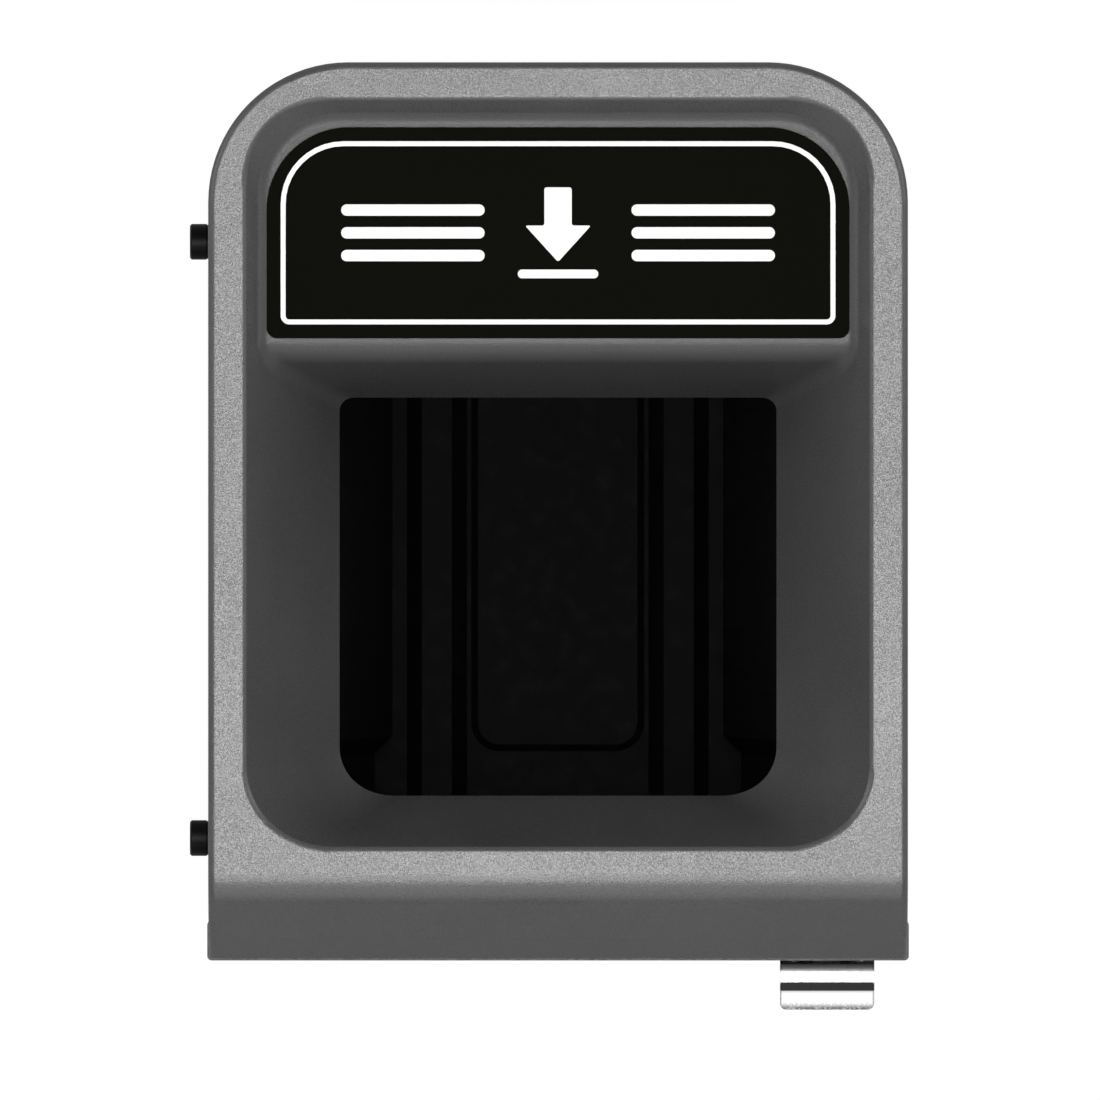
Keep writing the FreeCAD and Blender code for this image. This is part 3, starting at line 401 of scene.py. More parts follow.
@dataclass(frozen=True)
class RubbedAndShadedFinish:
    """Black moulded plastic, rubbed paler in streaks, whose level floors are made far darker than its upright
    walls by painted shade.
    """

    name: str
    wall: Triple
    floor: Triple
    roughness: float
    specular: float
    grain: float
    depth: float
    streak_stretch: Triple = (90.0, 90.0, 2.5)
    streak_weight: float = -0.5
    slope_range: Pair = (0.1, 0.6)
    floor_shade_range: Pair = (0.5, 1.25)
    gloss: float = 0.06

    def build(self) -> bpy.types.Material:
        """Makes the material.

        Returns:
            The material.
        """
        graph = Graph(bpy.data.materials.new(self.name))
        fine = graph.noise(self.grain, 2.0)
        streaks = graph.noise(1.0, 4.0, graph.stretched(self.streak_stretch))
        # Painted shade: faces that point up or down take the dark floor colour, which stands in for the shade
        # deep inside the liner and the base.
        facing = graph.upward(graph.add("ShaderNodeNewGeometry").outputs["True Normal"])
        slope = graph.math("ABSOLUTE", facing, 0.0)
        flat = graph.span(slope, *self.slope_range, *self.floor_shade_range)
        level = graph.sum(streaks, self.streak_weight, flat)
        bright, dull = self.roughness - self.gloss, self.roughness + self.gloss
        return graph.done({
            "Base Color": graph.mixed(level, self.wall, self.floor),
            "Roughness": graph.span(streaks, *NOISE, bright, dull),
            "Specular IOR Level": self.specular,
            "Normal": graph.bump(fine, self.depth),
        })


@dataclass(frozen=True)
class PlatedFinish:
    """Zinc or nickel on steel: crystals of slightly different gloss with fine drawn scratches."""

    name: str
    light: Triple
    dark: Triple
    roughness: float
    crystals: float
    scratch: Triple = (900.0, 900.0, 25.0)
    scratch_weight: float = 0.5
    tone: Pair = (0.3, 1.2)
    gloss: float = 0.07
    depth: float = 0.02 * MM

    def build(self) -> bpy.types.Material:
        """Makes the material.

        Returns:
            The material.
        """
        graph = Graph(bpy.data.materials.new(self.name))
        crystal = graph.crystals(self.crystals)
        drawn = graph.noise(1.0, 3.0, graph.stretched(self.scratch))
        level = graph.sum(drawn, self.scratch_weight, crystal)
        bright, dull = self.roughness - self.gloss, self.roughness + self.gloss
        return graph.done({
            "Base Color": graph.mixed(graph.span(level, *self.tone, 0.0, 1.0), self.dark, self.light),
            "Metallic": 1.0,
            "Roughness": graph.span(level, *self.tone, bright, dull),
            "Normal": graph.bump(drawn, self.depth),
        })


@dataclass(frozen=True)
class BrightFinish:
    """Polished chrome, faintly wavy, with hairline scratches, and darker and rougher in a ragged band along
    its front and side edges.
    """

    name: str
    light: Triple
    dark: Triple
    mark_colour: Triple
    roughness: float
    wave: float
    edge: float
    edge_reach: float
    sides: Pair
    side_reach: float
    waves: float = 900.0
    hair_stretch: Triple = (1400.0, 60.0, 60.0)
    hair_tone: Pair = (0.35, 0.65)
    hair_gloss: Pair = (0.35, 0.70)
    gloss: float = 0.08
    specks: float = 700.0
    ragged: float = 1.6
    ragged_range: Pair = (1.2, 1.8)
    speck_range: Pair = (0.40, 0.58)
    speck_share: Pair = (0.45, 1.0)
    dark_edge_gloss: float = 0.3

    def build(self) -> bpy.types.Material:
        """Makes the material.

        Returns:
            The material.
        """
        graph = Graph(bpy.data.materials.new(self.name))
        hairs = graph.noise(1.0, 4.0, graph.stretched(self.hair_stretch))
        dark_edges = self.dark_edges(graph)
        plain = graph.mixed(graph.span(hairs, *self.hair_tone, 0.0, 1.0), self.dark, self.light)
        gloss = graph.span(hairs, *self.hair_gloss, self.roughness, self.roughness + self.gloss)
        return graph.done({
            "Base Color": graph.mixed(dark_edges, plain, self.mark_colour),
            "Metallic": 1.0,
            "Roughness": graph.sum(dark_edges, self.dark_edge_gloss, gloss),
            "Normal": graph.bump(graph.noise(self.waves, 2.0), self.wave),
        })

    def dark_edges(self, graph: Graph) -> Socket:
        """Tells the darker, rougher edges from the bright plate.

        Args:
            graph: tree of the material.

        Returns:
            How far the chrome is darkened and roughened, 0 to 1.
        """
        axes = graph.add("ShaderNodeSeparateXYZ", {"Vector": graph.place}).outputs
        specks = graph.noise(self.specks, 3.0)
        ragged = graph.sum(specks, self.ragged * self.edge_reach, axes["Y"])
        start, stop = (self.edge + share * self.edge_reach for share in self.ragged_range)
        front = graph.span(ragged, start, stop, 1.0, 0.0)
        left = graph.span(axes["X"], self.sides[0], self.sides[0] + self.side_reach, 1.0, 0.0)
        right = graph.span(axes["X"], self.sides[1] - self.side_reach, self.sides[1], 0.0, 1.0)
        edges = graph.math("MAXIMUM", front, graph.math("MAXIMUM", left, right))
        return graph.math("MULTIPLY", edges, graph.span(specks, *self.speck_range, *self.speck_share))


Finish = GrainedFinish | CoatedFinish | RubbedAndShadedFinish | PlatedFinish | BrightFinish

FINISHES: dict[Surface, Finish] = {
    Surface.LID: GrainedFinish(
        "grey_moulded_plastic", light=(0.074, 0.073, 0.073), dark=grey(0.052), roughness=0.36, specular=0.8,
        grain=1300.0, depth=0.11 * MM, sparkle=0.19,
        matt=Zone(behind=106.0 * MM, below=927.2 * MM, run=16.0 * MM, drop=1.2 * MM),
        # The second zone is painted shade, darkening the bowl towards the mouth.
        painted_shade_zone=Zone(behind=100.0 * MM, below=872.0 * MM, run=220.0 * MM, drop=60.0 * MM)),
    Surface.LABEL: GrainedFinish(
        "black_label_film", light=(0.0038, 0.0040, 0.0025), dark=(0.0021, 0.0022, 0.0013), roughness=0.75,
        specular=0.03, grain=1800.0, depth=0.01 * MM),
    Surface.COATED: CoatedFinish(
        "grey_powder_coat", light=(0.066, 0.065, 0.065), dark=grey(0.040), mark_colour=grey(0.13), roughness=0.42,
        specular=0.5, peel=330.0, depth=0.16 * MM, kick=90.0 * MM),
    Surface.ZINC: PlatedFinish(
        "zinc_plated_steel", light=grey(0.52), dark=(0.34, 0.34, 0.35), roughness=0.36, crystals=380.0),
    Surface.BLACK: RubbedAndShadedFinish(
        # The floor colour is painted shade for the level faces, far darker than the walls.
        "black_moulded_plastic", wall=grey(0.032), floor=grey(0.0040), roughness=0.55, specular=0.08,
        grain=800.0, depth=0.05 * MM),
    Surface.FOOT: GrainedFinish(
        "black_glide_plastic", light=grey(0.016), dark=grey(0.009), roughness=0.45, specular=0.25,
        grain=700.0, depth=0.03 * MM),
    Surface.RUBBER: GrainedFinish(
        "black_rubber", light=grey(0.014), dark=grey(0.008), roughness=0.80, specular=0.12, grain=1500.0,
        depth=0.05 * MM),
    Surface.CONNECTOR: GrainedFinish(
        "black_connector_plastic", light=grey(0.0090), dark=grey(0.0055), roughness=0.40, specular=0.10,
        grain=900.0, depth=0.02 * MM, slow=12.0, stretch=(1.0, 0.25, 1.0)),
    Surface.MAGNET: PlatedFinish(
        "nickel_plated_magnet", light=(0.66, 0.63, 0.58), dark=(0.54, 0.51, 0.47), roughness=0.22,
        crystals=700.0, scratch=(60.0, 900.0, 900.0)),
    Surface.BUSH: GrainedFinish(
        "natural_nylon", light=(0.70, 0.68, 0.60), dark=(0.60, 0.58, 0.50), roughness=0.45, specular=0.4,
        grain=600.0, depth=0.02 * MM),
    Surface.CHROME: BrightFinish(
        "polished_chrome", light=grey(0.95), dark=grey(0.90), mark_colour=(0.12, 0.12, 0.13), roughness=0.04,
        wave=0.006 * MM, edge=-276.0 * MM, edge_reach=4.0 * MM, sides=(132.0 * MM, 188.0 * MM), side_reach=1.4 * MM),
}

PRINT_INK = GrainedFinish(
    "white_print_ink", light=grey(0.90), dark=grey(0.82), roughness=0.60, specular=0.2, grain=1600.0,
    depth=0.01 * MM)


@cache
def material_of(finish: Finish) -> bpy.types.Material:
    """Gives the material of a finish, which is made once."""
    return finish.build()


def scaled(profile: Profile, radius: float, tall: float) -> Profile:
    """Brings a profile to size.

    Args:
        profile: radius and height of each point, as shares of the whole.
        radius: the whole radius in metres.
        tall: the whole height in metres.

    Returns:
        The profile in metres.
    """
    return [(out * radius, up * tall) for out, up in profile]


def turned(profile: Profile, steps: int) -> Shape:
    """Turns a profile about the z axis.

    Args:
        profile: radius and height of each point, from the axis out and back to it, in metres.
        steps: facets round the axis.

    Returns:
        The closed turned shape.
    """
    shape = bmesh.new()
    points = [shape.verts.new((radius, 0.0, height)) for radius, height in profile]
    edges = [shape.edges.new(pair) for pair in zip(points, points[1:])]
    bmesh.ops.spin(shape, geom=points + edges, cent=(0, 0, 0), axis=(0, 0, 1), angle=2 * math.pi,
                   steps=steps, use_merge=True)
    bmesh.ops.remove_doubles(shape, verts=shape.verts, dist=SEAM)
    return shape


def eased(shape: Shape, width: float, angle: float = 30.0, segments: int = 3) -> Shape:
    """Rounds the sharp edges of a shape.

    Args:
        shape: the shape.
        width: width of the rounding in metres.
        angle: edges that turn by more than this many degrees are rounded.
        segments: facets across the rounding.

    Returns:
        The same shape.
    """
    sharp = [edge for edge in shape.edges if edge.calc_face_angle(0.0) > math.radians(angle)]
    bmesh.ops.bevel(shape, geom=sharp, offset=width, offset_type="OFFSET", segments=segments, profile=0.5,
                    affect="EDGES", material=-1, clamp_overlap=True)
    return shape


def block(low: Vector, high: Vector) -> Shape:
    """Makes a block between two corners.

    Args:
        low: lowest corner in metres.
        high: highest corner in metres.

    Returns:
        The block.
    """
    shape = bmesh.new()
    bmesh.ops.create_cube(shape, size=1.0)
    bmesh.ops.scale(shape, vec=high - low, verts=shape.verts)
    bmesh.ops.translate(shape, vec=(low + high) / 2, verts=shape.verts)
    return shape


def raised(shape: Shape, faces: list[bmesh.types.BMFace], by: Vector | Triple, keep: bool = False) -> None:
    """Pulls faces out of a shape, with walls round them.

    Args:
        shape: the shape.
        faces: faces to pull.
        by: how far and which way, in metres.
        keep: whether faces stay behind as well, to close a flat shape.
    """
    pulled = bmesh.ops.extrude_face_region(shape, geom=faces, use_keep_orig=keep)
    tops = [item for item in pulled["geom"] if isinstance(item, bmesh.types.BMVert)]
    bmesh.ops.translate(shape, vec=by, verts=tops)
    if not keep:
        bmesh.ops.delete(shape, geom=faces, context="FACES")


PAD_SHARE = 0.55  # height of a buffer's pad as a share of the whole
FACES_ALONG = 0.9  # cosine, beyond which a face points along a direction


def buffer(low: Vector, high: Vector, facing: Vector, step: float, soft: float) -> Shape:
    """Makes a rubber buffer: a soft-edged pad that stands on a wider base.

    Args:
        low: lowest corner in metres.
        high: highest corner in metres.
        facing: where the pad points, along one axis.
        step: width of the ledge round the pad.
        soft: width of the rounding of its edges.

    Returns:
        The buffer, which fills the box between the corners.
    """
    rise = PAD_SHARE * abs((high - low).dot(facing)) * facing
    ahead = facing.dot(Vector((1.0, 1.0, 1.0))) > 0.0
    shape = block(low if ahead else low - rise, high - rise if ahead else high)
    shape.normal_update()
    top = [face for face in shape.faces if face.normal.dot(facing) > FACES_ALONG]
    bmesh.ops.inset_region(shape, faces=top, thickness=step, use_even_offset=True)
    raised(shape, top, rise)
    return eased(shape, soft)


def placed(shape: Shape, at: Triple, facing: Triple = (0.0, 0.0, 1.0)) -> Shape:
    """Turns a shape's z axis to a direction and moves its origin to a point.

    Args:
        shape: the shape, modelled about the z axis.
        at: where its origin goes, in metres.
        facing: where its z axis points.

    Returns:
        The same shape.
    """
    turn = Vector(facing).to_track_quat("Z", "Y").to_matrix().to_4x4()
    bmesh.ops.transform(shape, matrix=Matrix.Translation(at) @ turn, verts=shape.verts)
    return shape


def together(shapes: list[Shape]) -> Shape:
    """Puts several shapes in one.

    Args:
        shapes: the shapes, which are used up.

    Returns:
        One shape with all their faces.
    """
    whole = bmesh.new()
    for shape in shapes:
        mesh = bpy.data.meshes.new("gathered")
        shape.to_mesh(mesh)
        shape.free()
        whole.from_mesh(mesh)
        bpy.data.meshes.remove(mesh)
    return whole


def copied(node: str) -> Shape:
    """Copies a node's mesh with its loose triangles merged and its flat faces made whole.

    Args:
        node: name of the node.

    Returns:
        The copy.
    """
    shape = bmesh.new()
    shape.from_mesh(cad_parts[node].data)
    bmesh.ops.remove_doubles(shape, verts=shape.verts, dist=WELD)
    bmesh.ops.dissolve_limit(shape, angle_limit=math.radians(FLAT_ANGLE), verts=shape.verts,
                             edges=shape.edges)
    return shape


RIVET_PROFILE: Profile = [(0.0, 0.30), (0.28, 0.30), (0.36, 0.42), (0.62, 0.40), (0.88, 0.22), (1.0, 0.06),
                          (1.0, 0.0), (0.0, 0.0)]
RIVET_STEPS = 28
PAN_PROFILE: Profile = [(0.0, 0.55), (0.50, 0.55), (0.72, 0.52), (0.90, 0.38), (1.0, 0.16), (1.0, 0.0),
                        (0.0, 0.0)]
PAN_STEPS = 48
# The drive socket in a pan head's crown: a count of lobes, and sizes in shares of the radius.
CROWN_LEVEL = 0.545
CROWN_REACH = 0.4
DRIVE_LOBES = 6.0
DRIVE_SWING = 0.16
DRIVE_SIZE = 0.92
DRIVE_SINK = 0.32


def head(kind: Head, radius: float) -> Shape:
    """Makes a fastener's head that stands on z = 0.

    Args:
        kind: the kind of head.
        radius: its radius in metres.

    Returns:
        The head.
    """
    if kind is Head.RIVET:
        return turned(scaled(RIVET_PROFILE, radius, radius), RIVET_STEPS)
    shape = turned(scaled(PAN_PROFILE, radius, radius), PAN_STEPS)
    crown = [face for face in shape.faces if face.calc_center_median().z > CROWN_LEVEL * radius]
    rim = {vert for face in crown for vert in face.verts if vert.co.xy.length > CROWN_REACH * radius}
    for vert in rim:
        lobe = 1.0 + DRIVE_SWING * math.cos(DRIVE_LOBES * math.atan2(vert.co.y, vert.co.x))
        vert.co.xy *= lobe * DRIVE_SIZE
    raised(shape, crown, (0.0, 0.0, -DRIVE_SINK * radius))
    return shape


class SubAssembly:
    """A group of pieces that ride on one body."""

    body: Body

    def dress(self, node: str, surface: Surface) -> None:
        """Gives a carried-over node its finish.

        Args:
            node: name of the node.
            surface: material slot whose finish it gets.
        """
        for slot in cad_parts[node].material_slots:
            slot.material = material_of(FINISHES[surface])
        LOG.info("dressed %s as %s", node, surface.value)

    def piece(self, name: str, shape: Shape, surface: Surface, *nodes: str) -> bpy.types.Object:
        """Makes an object of a shape and lets it ride on the body.

        Args:
            name: name of the piece.
            shape: its shape, which is used up.
            surface: material slot that it takes its finish from.
            nodes: nodes that it stands for.

        Returns:
            The object.
        """
        bmesh.ops.recalc_face_normals(shape, faces=shape.faces)
        mesh = bpy.data.meshes.new(name)
        shape.to_mesh(mesh)
        shape.free()
        mesh.shade_smooth()
        mesh.set_sharp_from_angle(angle=math.radians(SHARP_ANGLE))
        mesh.materials.append(material_of(FINISHES[surface]))
        made = bpy.data.objects.new(name, mesh)
        made.modifiers.new("even_shading", "WEIGHTED_NORMAL").keep_sharp = True
        bpy.context.scene.collection.objects.link(made)
        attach(made, self.body.value)
        if nodes:
            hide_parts(*nodes)
        LOG.info("made %s with %d faces on %s", name, len(mesh.polygons), self.body.value)
        return made

    def heads(self, name: str, kind: Head, radius: float, facing: Triple, spots: list[Triple]) -> None:
        """Sets a row of fastener heads as one piece.

        Args:
            name: name of the piece.
            kind: the kind of head.
            radius: radius of the heads in metres.
            facing: where the heads point.
            spots: where they stand, in metres.
        """
        self.piece(name, together([placed(head(kind, radius), spot, facing) for spot in spots]), Surface.ZINC)


@dataclass
class LidAssembly(SubAssembly):
    """The moulded lid and the printed panel on its shelf."""

    body: Body = Body.CABINET
    frame_inset: float = 8.0 * MM
    frame_line: float = 2.8 * MM
    rear_radius: float = 36.0 * MM
    front_radius: float = 5.0 * MM
    ink: float = 0.12 * MM
    stripe_height: float = 6.5 * MM
    stripe_step: float = 13.0 * MM
    stripe_near: float = 42.0 * MM
    stripe_far: float = 124.0 * MM
    stripe_round: float = 0.98
    arrow_width: float = 46.0 * MM
    arrow_height: float = 52.0 * MM
    arrow_stem: float = 0.34
    arrow_barb: float = 0.82
    arrow_neck: float = 0.42
    arrow_tip: float = 0.82
    arrow_round: float = 1.4 * MM
    bar_height: float = 5.0 * MM
    bar_round: float = 2.4 * MM
    corner_steps: int = 10

    def build(self) -> None:
        """Dresses the lid and prints the panel."""
        self.dress("lid", Surface.LID)
        self.dress("label_panel", Surface.LABEL)
        low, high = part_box("label_panel")
        middle = (low + high) / 2
        shapes = [self.outline(low, high)]
        for side in (-1.0, 1.0):
            for row in (-1.0, 0.0, 1.0):
                shapes.append(self.stripe(side, middle.y + row * self.stripe_step, high.z))
        shapes.extend(self.arrow(middle.y, high.z))
        made = self.piece("label_print", together(shapes), Surface.LABEL)
        made.data.materials[0] = material_of(PRINT_INK)

    def inked(self, shape: Shape) -> Shape:
        """Gives flat faces the thickness of the ink.

        Args:
            shape: the flat shape.

        Returns:
            The same shape.
        """
        raised(shape, list(shape.faces), (0.0, 0.0, self.ink), keep=True)
        return shape

    def patch(self, low: Pair, high: Pair, level: float) -> Shape:
        """Makes a flat rectangle.

        Args:
            low: lowest x and y in metres.
            high: highest x and y in metres.
            level: its height.

        Returns:
            The rectangle as one face.
        """
        shape = bmesh.new()
        bmesh.ops.create_grid(shape, x_segments=1, y_segments=1, size=0.5)
        bmesh.ops.scale(shape, vec=(high[0] - low[0], high[1] - low[1], 1.0), verts=shape.verts)
        bmesh.ops.translate(shape, vec=((low[0] + high[0]) / 2, (low[1] + high[1]) / 2, level),
                            verts=shape.verts)
        return shape

    def softened(self, shape: Shape, corners: list[bmesh.types.BMVert], radius: float) -> Shape:
        """Rounds corners of a flat face.

        Args:
            shape: the flat shape.
            corners: corners to round.
            radius: width of the rounding in metres.

        Returns:
            The same shape.
        """
        bmesh.ops.bevel(shape, geom=corners, offset=radius, offset_type="OFFSET", segments=self.corner_steps,
                        profile=0.5, affect="VERTICES", material=-1)
        return shape

    def outline(self, low: Vector, high: Vector) -> Shape:
        """Makes the printed line round the panel.

        Args:
            low: lowest corner of the panel.
            high: highest corner of the panel.

        Returns:
            The line, a ring with large corners at the rear.
        """
        shape = self.patch((low.x + self.frame_inset, low.y + self.frame_inset),
                           (high.x - self.frame_inset, high.y - self.frame_inset), high.z)
        middle = (low.y + high.y) / 2
        self.softened(shape, [vert for vert in shape.verts if vert.co.y > middle], self.rear_radius)
        front = [vert for vert in shape.verts if vert.co.y < low.y + self.frame_inset + WELD]
        self.softened(shape, front, self.front_radius)
        ring = bmesh.ops.inset_region(shape, faces=list(shape.faces), thickness=self.frame_line,
                                      use_boundary=True, use_even_offset=True)
        inner = [face for face in shape.faces if face not in ring["faces"]]
        bmesh.ops.delete(shape, geom=inner, context="FACES")
        return self.inked(shape)

    def stripe(self, side: float, level: float, top: float) -> Shape:
        """Makes one printed stripe beside the arrow.

        Args:
            side: -1 for the left and 1 for the right.
            level: its middle in y.
            top: height of the panel's face.

        Returns:
            The stripe with round ends.
        """
        near, far = sorted((side * self.stripe_near, side * self.stripe_far))
        half = self.stripe_height / 2
        shape = self.patch((near, level - half), (far, level + half), top)
        return self.inked(self.softened(shape, list(shape.verts), half * self.stripe_round))

    def arrow(self, middle: float, top: float) -> list[Shape]:
        """Makes the arrow that points at the mouth, and the bar below it.

        Args:
            middle: middle of the panel in y.
            top: height of the panel's face.

        Returns:
            The arrow and the bar.
        """
        half = self.arrow_width / 2
        stem, barb = half * self.arrow_stem, half * self.arrow_barb
        rear = middle + self.arrow_height / 2
        neck = rear - self.arrow_height * self.arrow_neck
        tip = rear - self.arrow_height * self.arrow_tip
        shape = bmesh.new()
        points = [(-stem, rear), (-stem, neck), (-barb, neck), (0.0, tip), (barb, neck), (stem, neck),
                  (stem, rear)]
        shape.faces.new([shape.verts.new((x, y, top)) for x, y in points])
        bmesh.ops.recalc_face_normals(shape, faces=shape.faces)
        self.softened(shape, list(shape.verts), self.arrow_round)
        bar_low = rear - self.arrow_height
        bar = self.patch((-half, bar_low), (half, bar_low + self.bar_height), top)
        return [self.inked(shape), self.inked(self.softened(bar, list(bar.verts), self.bar_round))]


FOOT_PROFILE: Profile = [(0.0, 1.0), (0.8, 1.0), (0.8, 0.72), (0.94, 0.62), (1.0, 0.5), (1.0, 0.22),
                         (0.96, 0.06), (0.88, 0.0), (0.0, 0.0)]


@dataclass
class CabinetAssembly(SubAssembly):
    """The sheet cabinet with its rail, base, feet, hinge brackets and connectors."""

    body: Body = Body.CABINET
    rivet: float = 3.4 * MM
    screw: float = 4.2 * MM
    foot_radius: float = 18.0 * MM
    foot_round: float = 0.5 * MM
    foot_angle: float = 50.0
    foot_steps: int = 48
    bumper_tall: float = 20.0 * MM
    bumper_step: float = 1.2 * MM
    bumper_round: float = 0.5 * MM
    connector_radius: float = 10.3 * MM
    connector_edge: float = 1.0 * MM
    connector_steps: int = 56
    groove: tuple[float, float, float, float] = (1.0 * MM, 1.4 * MM, 2.6 * MM, 3.0 * MM)
    groove_deep: float = 0.5 * MM
    seat_gap: float = 0.05 * MM
    seat_edge: float = 0.5 * MM
    magnet_radius: float = 7.4 * MM
    magnet_thick: float = 5.0 * MM
    magnet_edge: float = 0.5 * MM
    jamb: float = 188.0 * MM
    rail_inset: float = 6.0 * MM
    leaf_inset: float = 3.0 * MM
    leaf_rivets: Pair = (6.0 * MM, 17.0 * MM)
    bracket_rivets: Pair = (6.0 * MM, 19.0 * MM)
    screw_rows: Triple = (-120.0 * MM, 40.0 * MM, 200.0 * MM)

    def build(self) -> None:
        """Dresses the cabinet's nodes and adds its feet, bumpers and fasteners."""
        self.dress("cabinet_shell", Surface.COATED)
        self.dress("base_pan", Surface.BLACK)
        self.dress("liner", Surface.BLACK)
        for node in ("top_rail", "hinge_bracket_upper", "hinge_bracket_lower", "hinge_pins"):
            self.dress(node, Surface.ZINC)
        self.connectors()
        self.feet()
        self.bumpers()
        self.fasteners()

    def connectors(self) -> None:
        """Turns the connector cups on the left side and the magnets in them."""
        low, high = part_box("connector_housings")
        sink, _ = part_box("connector_magnets")
        radius, long = self.connector_radius, high.x - low.x
        seat, deep = self.magnet_radius + self.seat_gap, self.magnet_thick + sink.x - low.x
        first, second, third, fourth = self.groove
        neck = radius - self.groove_deep
        cup = [(0.0, long - deep), (seat, long - deep), (seat, long - self.seat_edge),
               (seat + self.seat_edge, long), (radius - self.connector_edge, long),
               (radius, long - self.connector_edge), (radius, fourth), (neck, third), (neck, second),
               (radius, first), (radius, 0.0), (0.0, 0.0)]
        edge = self.magnet_edge
        disc = [(0.0, self.magnet_thick), (self.magnet_radius - edge, self.magnet_thick),
                (self.magnet_radius, self.magnet_thick - edge), (self.magnet_radius, edge),
                (self.magnet_radius - edge, 0.0), (0.0, 0.0)]
        middle = (low.z + high.z) / 2
        steps, outward = self.connector_steps, (-1.0, 0.0, 0.0)
        cups, discs = [], []
        for y in (low.y + radius, high.y - radius):
            cups.append(placed(turned(cup, steps), (high.x, y, middle), outward))
            discs.append(placed(turned(disc, steps), (sink.x + self.magnet_thick, y, middle), outward))
        self.piece("connector_cups", together(cups), Surface.CONNECTOR, "connector_housings")
        self.piece("connector_discs", together(discs), Surface.MAGNET, "connector_magnets")

    def feet(self) -> None:
        """Turns the glide feet, with a neck under the base and a rounded sole."""
        low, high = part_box("glide_feet")
        radius = self.foot_radius
        profile = scaled(FOOT_PROFILE, radius, high.z - low.z)
        spots = [(x, y, low.z) for x in (low.x + radius, high.x - radius)
                 for y in (low.y + radius, high.y - radius)]
        shapes = [placed(eased(turned(profile, self.foot_steps), self.foot_round, self.foot_angle), spot)
                  for spot in spots]
        self.piece("glide_feet_turned", together(shapes), Surface.FOOT, "glide_feet")

    def bumpers(self) -> None:
        """Makes the rubber bumpers that the door closes on."""
        low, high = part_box("door_bumpers")
        tall = self.bumper_tall
        shapes = [buffer(Vector((low.x, low.y, base)), Vector((high.x, high.y, base + tall)),
                         Vector((0.0, -1.0, 0.0)), self.bumper_step, self.bumper_round)
                  for base in (low.z, high.z - tall)]
        self.piece("door_bumpers_moulded", together(shapes), Surface.RUBBER, "door_bumpers")

    def fasteners(self) -> None:
        """Sets the rivets and screws that hold the sheet parts together."""
        rail_low, rail_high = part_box("top_rail")
        shell_low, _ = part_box("cabinet_shell")
        jambs = (-self.jamb, self.jamb)
        self.heads("rail_rivets", Head.RIVET, self.rivet, (0.0, -1.0, 0.0),
                   [(x, shell_low.y, z) for x in jambs
                    for z in (rail_low.z + self.rail_inset, rail_high.z - self.rail_inset)])
        low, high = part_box("hinge_bracket_lower")
        middle = (low.x + high.x) / 2
        self.heads("hinge_rivets_lower", Head.RIVET, self.rivet, (0.0, -1.0, 0.0),
                   [(middle, high.y - self.leaf_inset, low.z + up) for up in self.leaf_rivets])
        low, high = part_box("hinge_bracket_upper")
        self.heads("hinge_rivets_upper", Head.RIVET, self.rivet, (0.0, 0.0, -1.0),
                   [(middle, high.y - back, low.z) for back in self.bracket_rivets])
        self.heads("base_screws", Head.PAN, self.screw, (0.0, 0.0, -1.0),
                   [(x, y, shell_low.z) for x in jambs for y in self.screw_rows])


@dataclass
class DoorAssembly(SubAssembly):
    """The door skin with its inner panel, bushings and strike plate."""

    body: Body = Body.DOOR
    rivet: float = 3.0 * MM
    rivet_inset: float = 5.0 * MM

    def build(self) -> None:
        """Dresses the door's nodes and rivets the strike plate."""
        self.dress("door_skin", Surface.COATED)
        self.dress("door_inner_panel", Surface.COATED)
        self.dress("hinge_bushings", Surface.BUSH)
        self.dress("strike_plate", Surface.ZINC)
        low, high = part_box("strike_plate")
        skin_low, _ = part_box("door_skin")
        self.heads("strike_rivets", Head.RIVET, self.rivet, (0.0, 0.0, -1.0),
                   [(x, (low.y + high.y) / 2, skin_low.z)
                    for x in (low.x + self.rivet_inset, high.x - self.rivet_inset)])


@dataclass
class PedalMounting(SubAssembly):
    """The fixed side of the pedal: bracket, shaft with clips, spring and stop."""

    body: Body = Body.CABINET
    clip_radius: float = 6.5 * MM
    clip_bore: float = 3.4 * MM
    clip_sheet: float = 0.8 * MM
    clip_steps: int = 36
    stop_step: float = 1.3 * MM
    stop_round: float = 0.5 * MM
    leaf_round: float = 0.2 * MM
    leaf_angle: float = 60.0
    leaf_keep: float = 0.88

    def build(self) -> None:
        """Dresses the bracket and shaft and adds the clips, the leaf spring and the rubber stop."""
        for node in ("pedal_bracket", "pedal_shaft"):
            self.dress(node, Surface.ZINC)
        self.clips()
        self.spring()
        low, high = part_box("pedal_stop")
        stop = buffer(low, high, Vector((0.0, 0.0, 1.0)), self.stop_step, self.stop_round)
        self.piece("pedal_stop_moulded", stop, Surface.RUBBER, "pedal_stop")

    def spring(self) -> None:
        """Makes the leaf spring, with a mesh of its own, that the lever presses down as the pedal goes down;
        it is not bent here.
        """
        shape = eased(copied("pedal_spring"), self.leaf_round, self.leaf_angle, segments=2)
        leaf = self.piece("pedal_spring_leaf", shape, Surface.ZINC, "pedal_spring")
        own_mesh(leaf)

    def clips(self) -> None:
        """Clips the shaft's ends outside the bracket's ears."""
        low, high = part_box("pedal_bracket")
        shaft_low, shaft_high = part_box("pedal_shaft")
        middle = (shaft_low + shaft_high) / 2
        bore, radius, sheet = self.clip_bore, self.clip_radius, self.clip_sheet
        ring = [(bore, 0.0), (radius, 0.0), (radius, sheet), (bore, sheet), (bore, 0.0)]
        shapes = [placed(turned(ring, self.clip_steps), (x, middle.y, middle.z), (side, 0.0, 0.0))
                  for x, side in ((low.x, -1.0), (high.x, 1.0))]
        self.piece("shaft_clips", together(shapes), Surface.ZINC)


